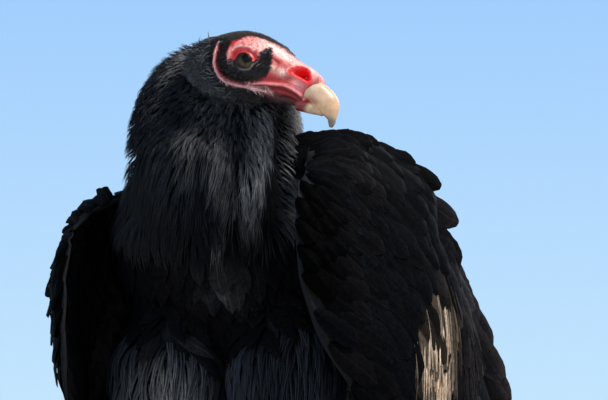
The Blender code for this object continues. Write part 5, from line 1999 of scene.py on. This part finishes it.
class Shader:
    """A material's nodes, added and joined in few words."""

    def __init__(self, name, **sockets):
        self.material = bpy.data.materials.new(name)
        self.material.use_nodes = True
        self.tree = self.material.node_tree
        self.main = self.tree.nodes["Principled BSDF"]
        for socket, value in sockets.items():
            self.main.inputs[socket.replace("_", " ")].default_value = value

    def node(self, kind, inputs=None, **settings):
        """A node, its inputs joined to other nodes' outputs or set to values."""
        made = self.tree.nodes.new(kind)
        for key, value in settings.items():
            setattr(made, key, value)
        for key, value in (inputs or {}).items():
            if isinstance(value, bpy.types.NodeSocket):
                self.tree.links.new(value, made.inputs[key])
            else:
                made.inputs[key].default_value = value
        return made

    def feed(self, socket, output):
        """Joins an output to an input of the material."""
        self.tree.links.new(output, self.main.inputs[socket])

    def place(self):
        return self.node("ShaderNodeTexCoord").outputs["Object"]

    def noise(self, scale, detail=3.0, roughness=0.6):
        """Noise through the body; a larger scale makes it finer."""
        inputs = {"Vector": self.place(), "Scale": scale, "Detail": detail, "Roughness": roughness}
        return self.node("ShaderNodeTexNoise", inputs).outputs["Fac"]

    def cells(self, scale):
        """Distance to the edges of small cells."""
        inputs = {"Vector": self.place(), "Scale": scale}
        made = self.node("ShaderNodeTexVoronoi", inputs, feature="DISTANCE_TO_EDGE")
        return made.outputs["Distance"]

    def math(self, operation, *values):
        """The result of one step of arithmetic."""
        made = self.node("ShaderNodeMath", dict(enumerate(values)), operation=operation)
        return made.outputs["Value"]

    def ranged(self, value, low, high, first=0.0, last=1.0):
        """The value brought from between first and last to between low and high."""
        inputs = {"Value": value, "From Min": first, "From Max": last, "To Min": low, "To Max": high}
        return self.node("ShaderNodeMapRange", inputs).outputs["Result"]

    def mottle(self, scale, low, high, detail=3.0):
        """A value that wanders between low and high over the surface."""
        return self.ranged(self.noise(scale, detail), low, high, 0.3, 0.7)

    def attribute(self, name, output):
        return self.node("ShaderNodeAttribute", attribute_name=name).outputs[output]

    def scaled(self, colour, factor):
        """The colour made darker or lighter by a factor."""
        inputs = {0: colour, "Scale": factor}
        made = self.node("ShaderNodeVectorMath", inputs, operation="SCALE")
        return made.outputs["Vector"]

    def looks(self, shade, rough=None):
        """Takes the mesh's own colours, made darker or lighter, and a roughness."""
        self.feed("Base Color", self.scaled(self.attribute("tint", "Color"), shade))
        if rough is not None:
            self.feed("Roughness", rough)

    def bumps(self, *layers):
        """Bump from several (height, strength, distance), one on the other."""
        before = None
        for height, strength, distance in layers:
            inputs = {"Height": height, "Strength": strength, "Distance": distance * MM}
            if before is not None:
                inputs["Normal"] = before
            before = self.node("ShaderNodeBump", inputs).outputs["Normal"]
        self.feed("Normal", before)


SHEEN_TINT = (0.55, 0.66, 0.85, 1)


def feather_shader(name, roughness, gloss, sheen, barb_length):
    """A feather: its shaft a little paler, and fine barbs that slant away from it."""
    soft = {"Sheen_Weight": sheen, "Sheen_Roughness": 0.4, "Sheen_Tint": SHEEN_TINT}
    shader = Shader(name, Specular_IOR_Level=gloss, **soft)
    tint = shader.attribute("tint", "Color")
    colour = shader.scaled(tint, shader.ranged(shader.noise(420.0, 2.0), 0.62, 1.4, 0.25, 0.75))
    split = shader.node("ShaderNodeSeparateXYZ", {"Vector": shader.attribute("vane", "Vector")})
    side = shader.math("ABSOLUTE", split.outputs["X"])
    shader.feed("Base Color", shader.scaled(colour, shader.ranged(side, 1.7, 1.0, 0.15, 0.55)))
    along = shader.math("SUBTRACT", split.outputs["Y"], shader.math("MULTIPLY", side, 0.8))
    barbs = shader.math("SINE", shader.math("MULTIPLY", along, 2 * math.pi / barb_length))
    shader.feed("Roughness", shader.mottle(180.0, roughness - 0.08, roughness + 0.12))
    shader.bumps((barbs, 0.35, 0.12), (shader.noise(900.0, 2.0), 0.25, 0.15))
    return shader.material


def skin_shader():
    """Bare skin: mottled and finely pebbled."""
    soft = {"Subsurface_Weight": 0.12, "Subsurface_Scale": 0.002, "Subsurface_Radius": (1.0, 0.35, 0.25)}
    shader = Shader("bare_skin", Specular_IOR_Level=0.42, Coat_Weight=0.12, Coat_Roughness=0.3, **soft)
    shader.looks(shader.mottle(700.0, 0.80, 1.18, 4.0), shader.mottle(350.0, 0.36, 0.58))
    cells = shader.cells(1300.0)
    shader.bumps((shader.noise(420.0, 5.0, 0.65), 0.5, 0.5), (cells, 0.3, 0.25))
    return shader.material


def body_skin_shader():
    """The dark skin under the coat."""
    shader = Shader("feathered_skin", Specular_IOR_Level=0.2)
    shader.looks(shader.mottle(200.0, 0.6, 1.3), shader.mottle(90.0, 0.75, 0.95))
    shader.bumps((shader.noise(600.0, 3.0), 0.5, 0.6))
    return shader.material


def leg_shader():
    """Legs and feet: small plates with darker seams, and dirt here and there."""
    shader = Shader("leg_scales", Specular_IOR_Level=0.4, Subsurface_Weight=0.05, Subsurface_Scale=0.001)
    plates = shader.ranged(shader.cells(430.0), 0.0, 1.0, 0.0, 0.18)
    dirt = shader.mottle(120.0, 0.65, 1.12, 4.0)
    seams = shader.math("MULTIPLY", shader.ranged(plates, 0.62, 1.0), dirt)
    shader.looks(seams, shader.mottle(260.0, 0.45, 0.7))
    shader.bumps((plates, 0.6, 0.35), (shader.noise(800.0), 0.3, 0.2))
    return shader.material


def horn_shader(name, roughness):
    """Smooth horn, for the bill and the claws."""
    soft = {"Subsurface_Weight": 0.10, "Subsurface_Scale": 0.002}
    shader = Shader(name, Coat_Weight=0.15, Coat_Roughness=0.2, Specular_IOR_Level=0.5, **soft)
    rough = roughness - 0.08, roughness + 0.14
    shader.looks(shader.mottle(240.0, 0.84, 1.1, 5.0), shader.mottle(150.0, *rough))
    shader.bumps((shader.noise(500.0, 4.0), 0.22, 0.25), (shader.noise(90.0, 2.0), 0.25, 0.5))
    return shader.material


def eye_shader():
    """A wet, dark eye."""
    wet = {"Coat_Weight": 0.22, "Coat_Roughness": 0.03, "Coat_IOR": 1.36}
    shader = Shader("wet_eye", Roughness=0.3, Specular_IOR_Level=0.12, **wet)
    shader.looks(shader.mottle(900.0, 0.8, 1.2, 2.0))
    return shader.material


# -------------------------------------------------------- stage and camera


CAMERA_TURN, CAMERA_RISE, CAMERA_FAR = 20.0, -12.0, 1.5
SENSOR_WIDTH = 36.0
FRAME_WIDTH = 0.40128  # metres across the view at the bird
LOOK_AT, LOOK_ASIDE = Vector((-0.007, -0.1183, 0.331)), 0.046
FLOOR_HALF = 6.0  # metres
# Lights: metres aside, up and towards the camera from the middle, size, power and colour.
LIGHTS = {
    "key": (1.05, 1.55, 0.95, 0.36, 62.0, (1.0, 0.96, 0.90)),
    "fill": (-1.3, 0.4, 1.3, 1.2, 16.0, (0.82, 0.90, 1.0)),
    "rim": (0.9, 0.9, -1.3, 0.8, 6.0, (1.0, 0.98, 0.95)),
}


def view_axes():
    """The directions to the camera's right, and from the bird towards the camera."""
    turn, rise = math.radians(CAMERA_TURN), math.radians(CAMERA_RISE)
    back = Vector((math.sin(turn) * math.cos(rise), -math.cos(turn) * math.cos(rise), math.sin(rise)))
    return Vector((math.cos(turn), math.sin(turn), 0.0)), back


def make_camera():
    """A camera at the bird's left front that looks up a little and frames its upper part."""
    right, back = view_axes()
    camera = new_object("camera", bpy.data.cameras.new("camera"))
    camera.location = LOOK_AT + right * LOOK_ASIDE + back * CAMERA_FAR
    camera.rotation_euler = (-back).to_track_quat("-Z", "Y").to_euler()
    camera.data.sensor_width = SENSOR_WIDTH
    camera.data.lens = SENSOR_WIDTH * CAMERA_FAR / FRAME_WIDTH
    bpy.context.scene.camera = camera


def add_light(name, aside, rise, near, size, power, colour):
    """A soft square light placed from the middle of the bird along the view's axes."""
    right, back = view_axes()
    light = bpy.data.lights.new(name, "AREA")
    light.size, light.energy, light.color = size, power, colour
    obj = new_object(name, light)
    level_back = Vector((back.x, back.y, 0)).normalized()
    obj.location = LOOK_AT + right * aside + Vector((0, 0, 1)) * rise + level_back * near
    obj.rotation_euler = (LOOK_AT - obj.location).to_track_quat("-Z", "Y").to_euler()
    obj.visible_glossy = name != "fill"


def make_stage():
    """A pale floor, the backdrop and the lights."""
    mesh = bpy.data.meshes.new("floor")
    corners = [(x * FLOOR_HALF, y * FLOOR_HALF, 0) for x, y in ((-1, -1), (1, -1), (1, 1), (-1, 1))]
    mesh.from_pydata(corners, [], [(0, 1, 2, 3)])
    shader = Shader("pale_floor", Roughness=0.85)
    tone = shader.ranged(shader.noise(6.0), 0.43, 0.47)
    colour = shader.node("ShaderNodeCombineColor", {"Red": tone, "Green": tone, "Blue": tone})
    shader.feed("Base Color", colour.outputs["Color"])
    mesh.materials.append(shader.material)
    new_object("floor", mesh)
    make_backdrop()
    bpy.context.scene.view_settings.view_transform = "Standard"
    for name, light in LIGHTS.items():
        add_light(name, *light)


# How the backdrop's colour changes with height: the sine of the angle above level.
BACKDROP = [
    (0.0, (0.62, 0.82, 0.99)), (0.12, (0.546, 0.783, 0.99)), (0.29, (0.36, 0.62, 0.99)),
    (0.45, (0.25, 0.44, 0.72)), (0.62, (0.08, 0.12, 0.18)), (1.0, (0.05, 0.07, 0.10)),
]


def make_backdrop():
    """A pale blue studio backdrop all round, with a dim ceiling."""
    world = bpy.data.worlds.new("studio")
    world.use_nodes = True
    tree = world.node_tree
    direction = tree.nodes.new("ShaderNodeTexCoord").outputs["Generated"]
    split = tree.nodes.new("ShaderNodeSeparateXYZ")
    ramp = tree.nodes.new("ShaderNodeValToRGB")
    for at, colour in BACKDROP[1:-1]:
        ramp.color_ramp.elements.new(at).color = (*colour, 1)
    ramp.color_ramp.elements[0].color = (*BACKDROP[0][1], 1)
    ramp.color_ramp.elements[-1].color = (*BACKDROP[-1][1], 1)
    tree.links.new(direction, split.inputs["Vector"])
    tree.links.new(split.outputs["Z"], ramp.inputs["Fac"])
    tree.links.new(ramp.outputs["Color"], tree.nodes["Background"].inputs["Color"])
    bpy.context.scene.world = world


# ----------------------------------------------------------------------- main


for leftover in list(bpy.data.objects):
    bpy.data.objects.remove(leftover)
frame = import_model()

silk_material = feather_shader("silky_feather", 0.46, 0.20, 0.03, 0.9)
plain_material = feather_shader("flat_feather", 0.50, 0.008, 0.0, 1.1)
trunk, trunk_faces = make_skin([skin_shader(), body_skin_shader(), leg_shader()])
make_body_coat(trunk, trunk_faces, silk_material, plain_material)
make_face_coat(silk_material)
for wing in WINGS:
    make_wing(wing, plain_material)
make_tail(plain_material)
make_eyes(eye_shader())
make_bill(horn_shader("ivory_horn", 0.34))
make_claws(horn_shader("claw_horn", 0.36))
make_stage()
make_camera()
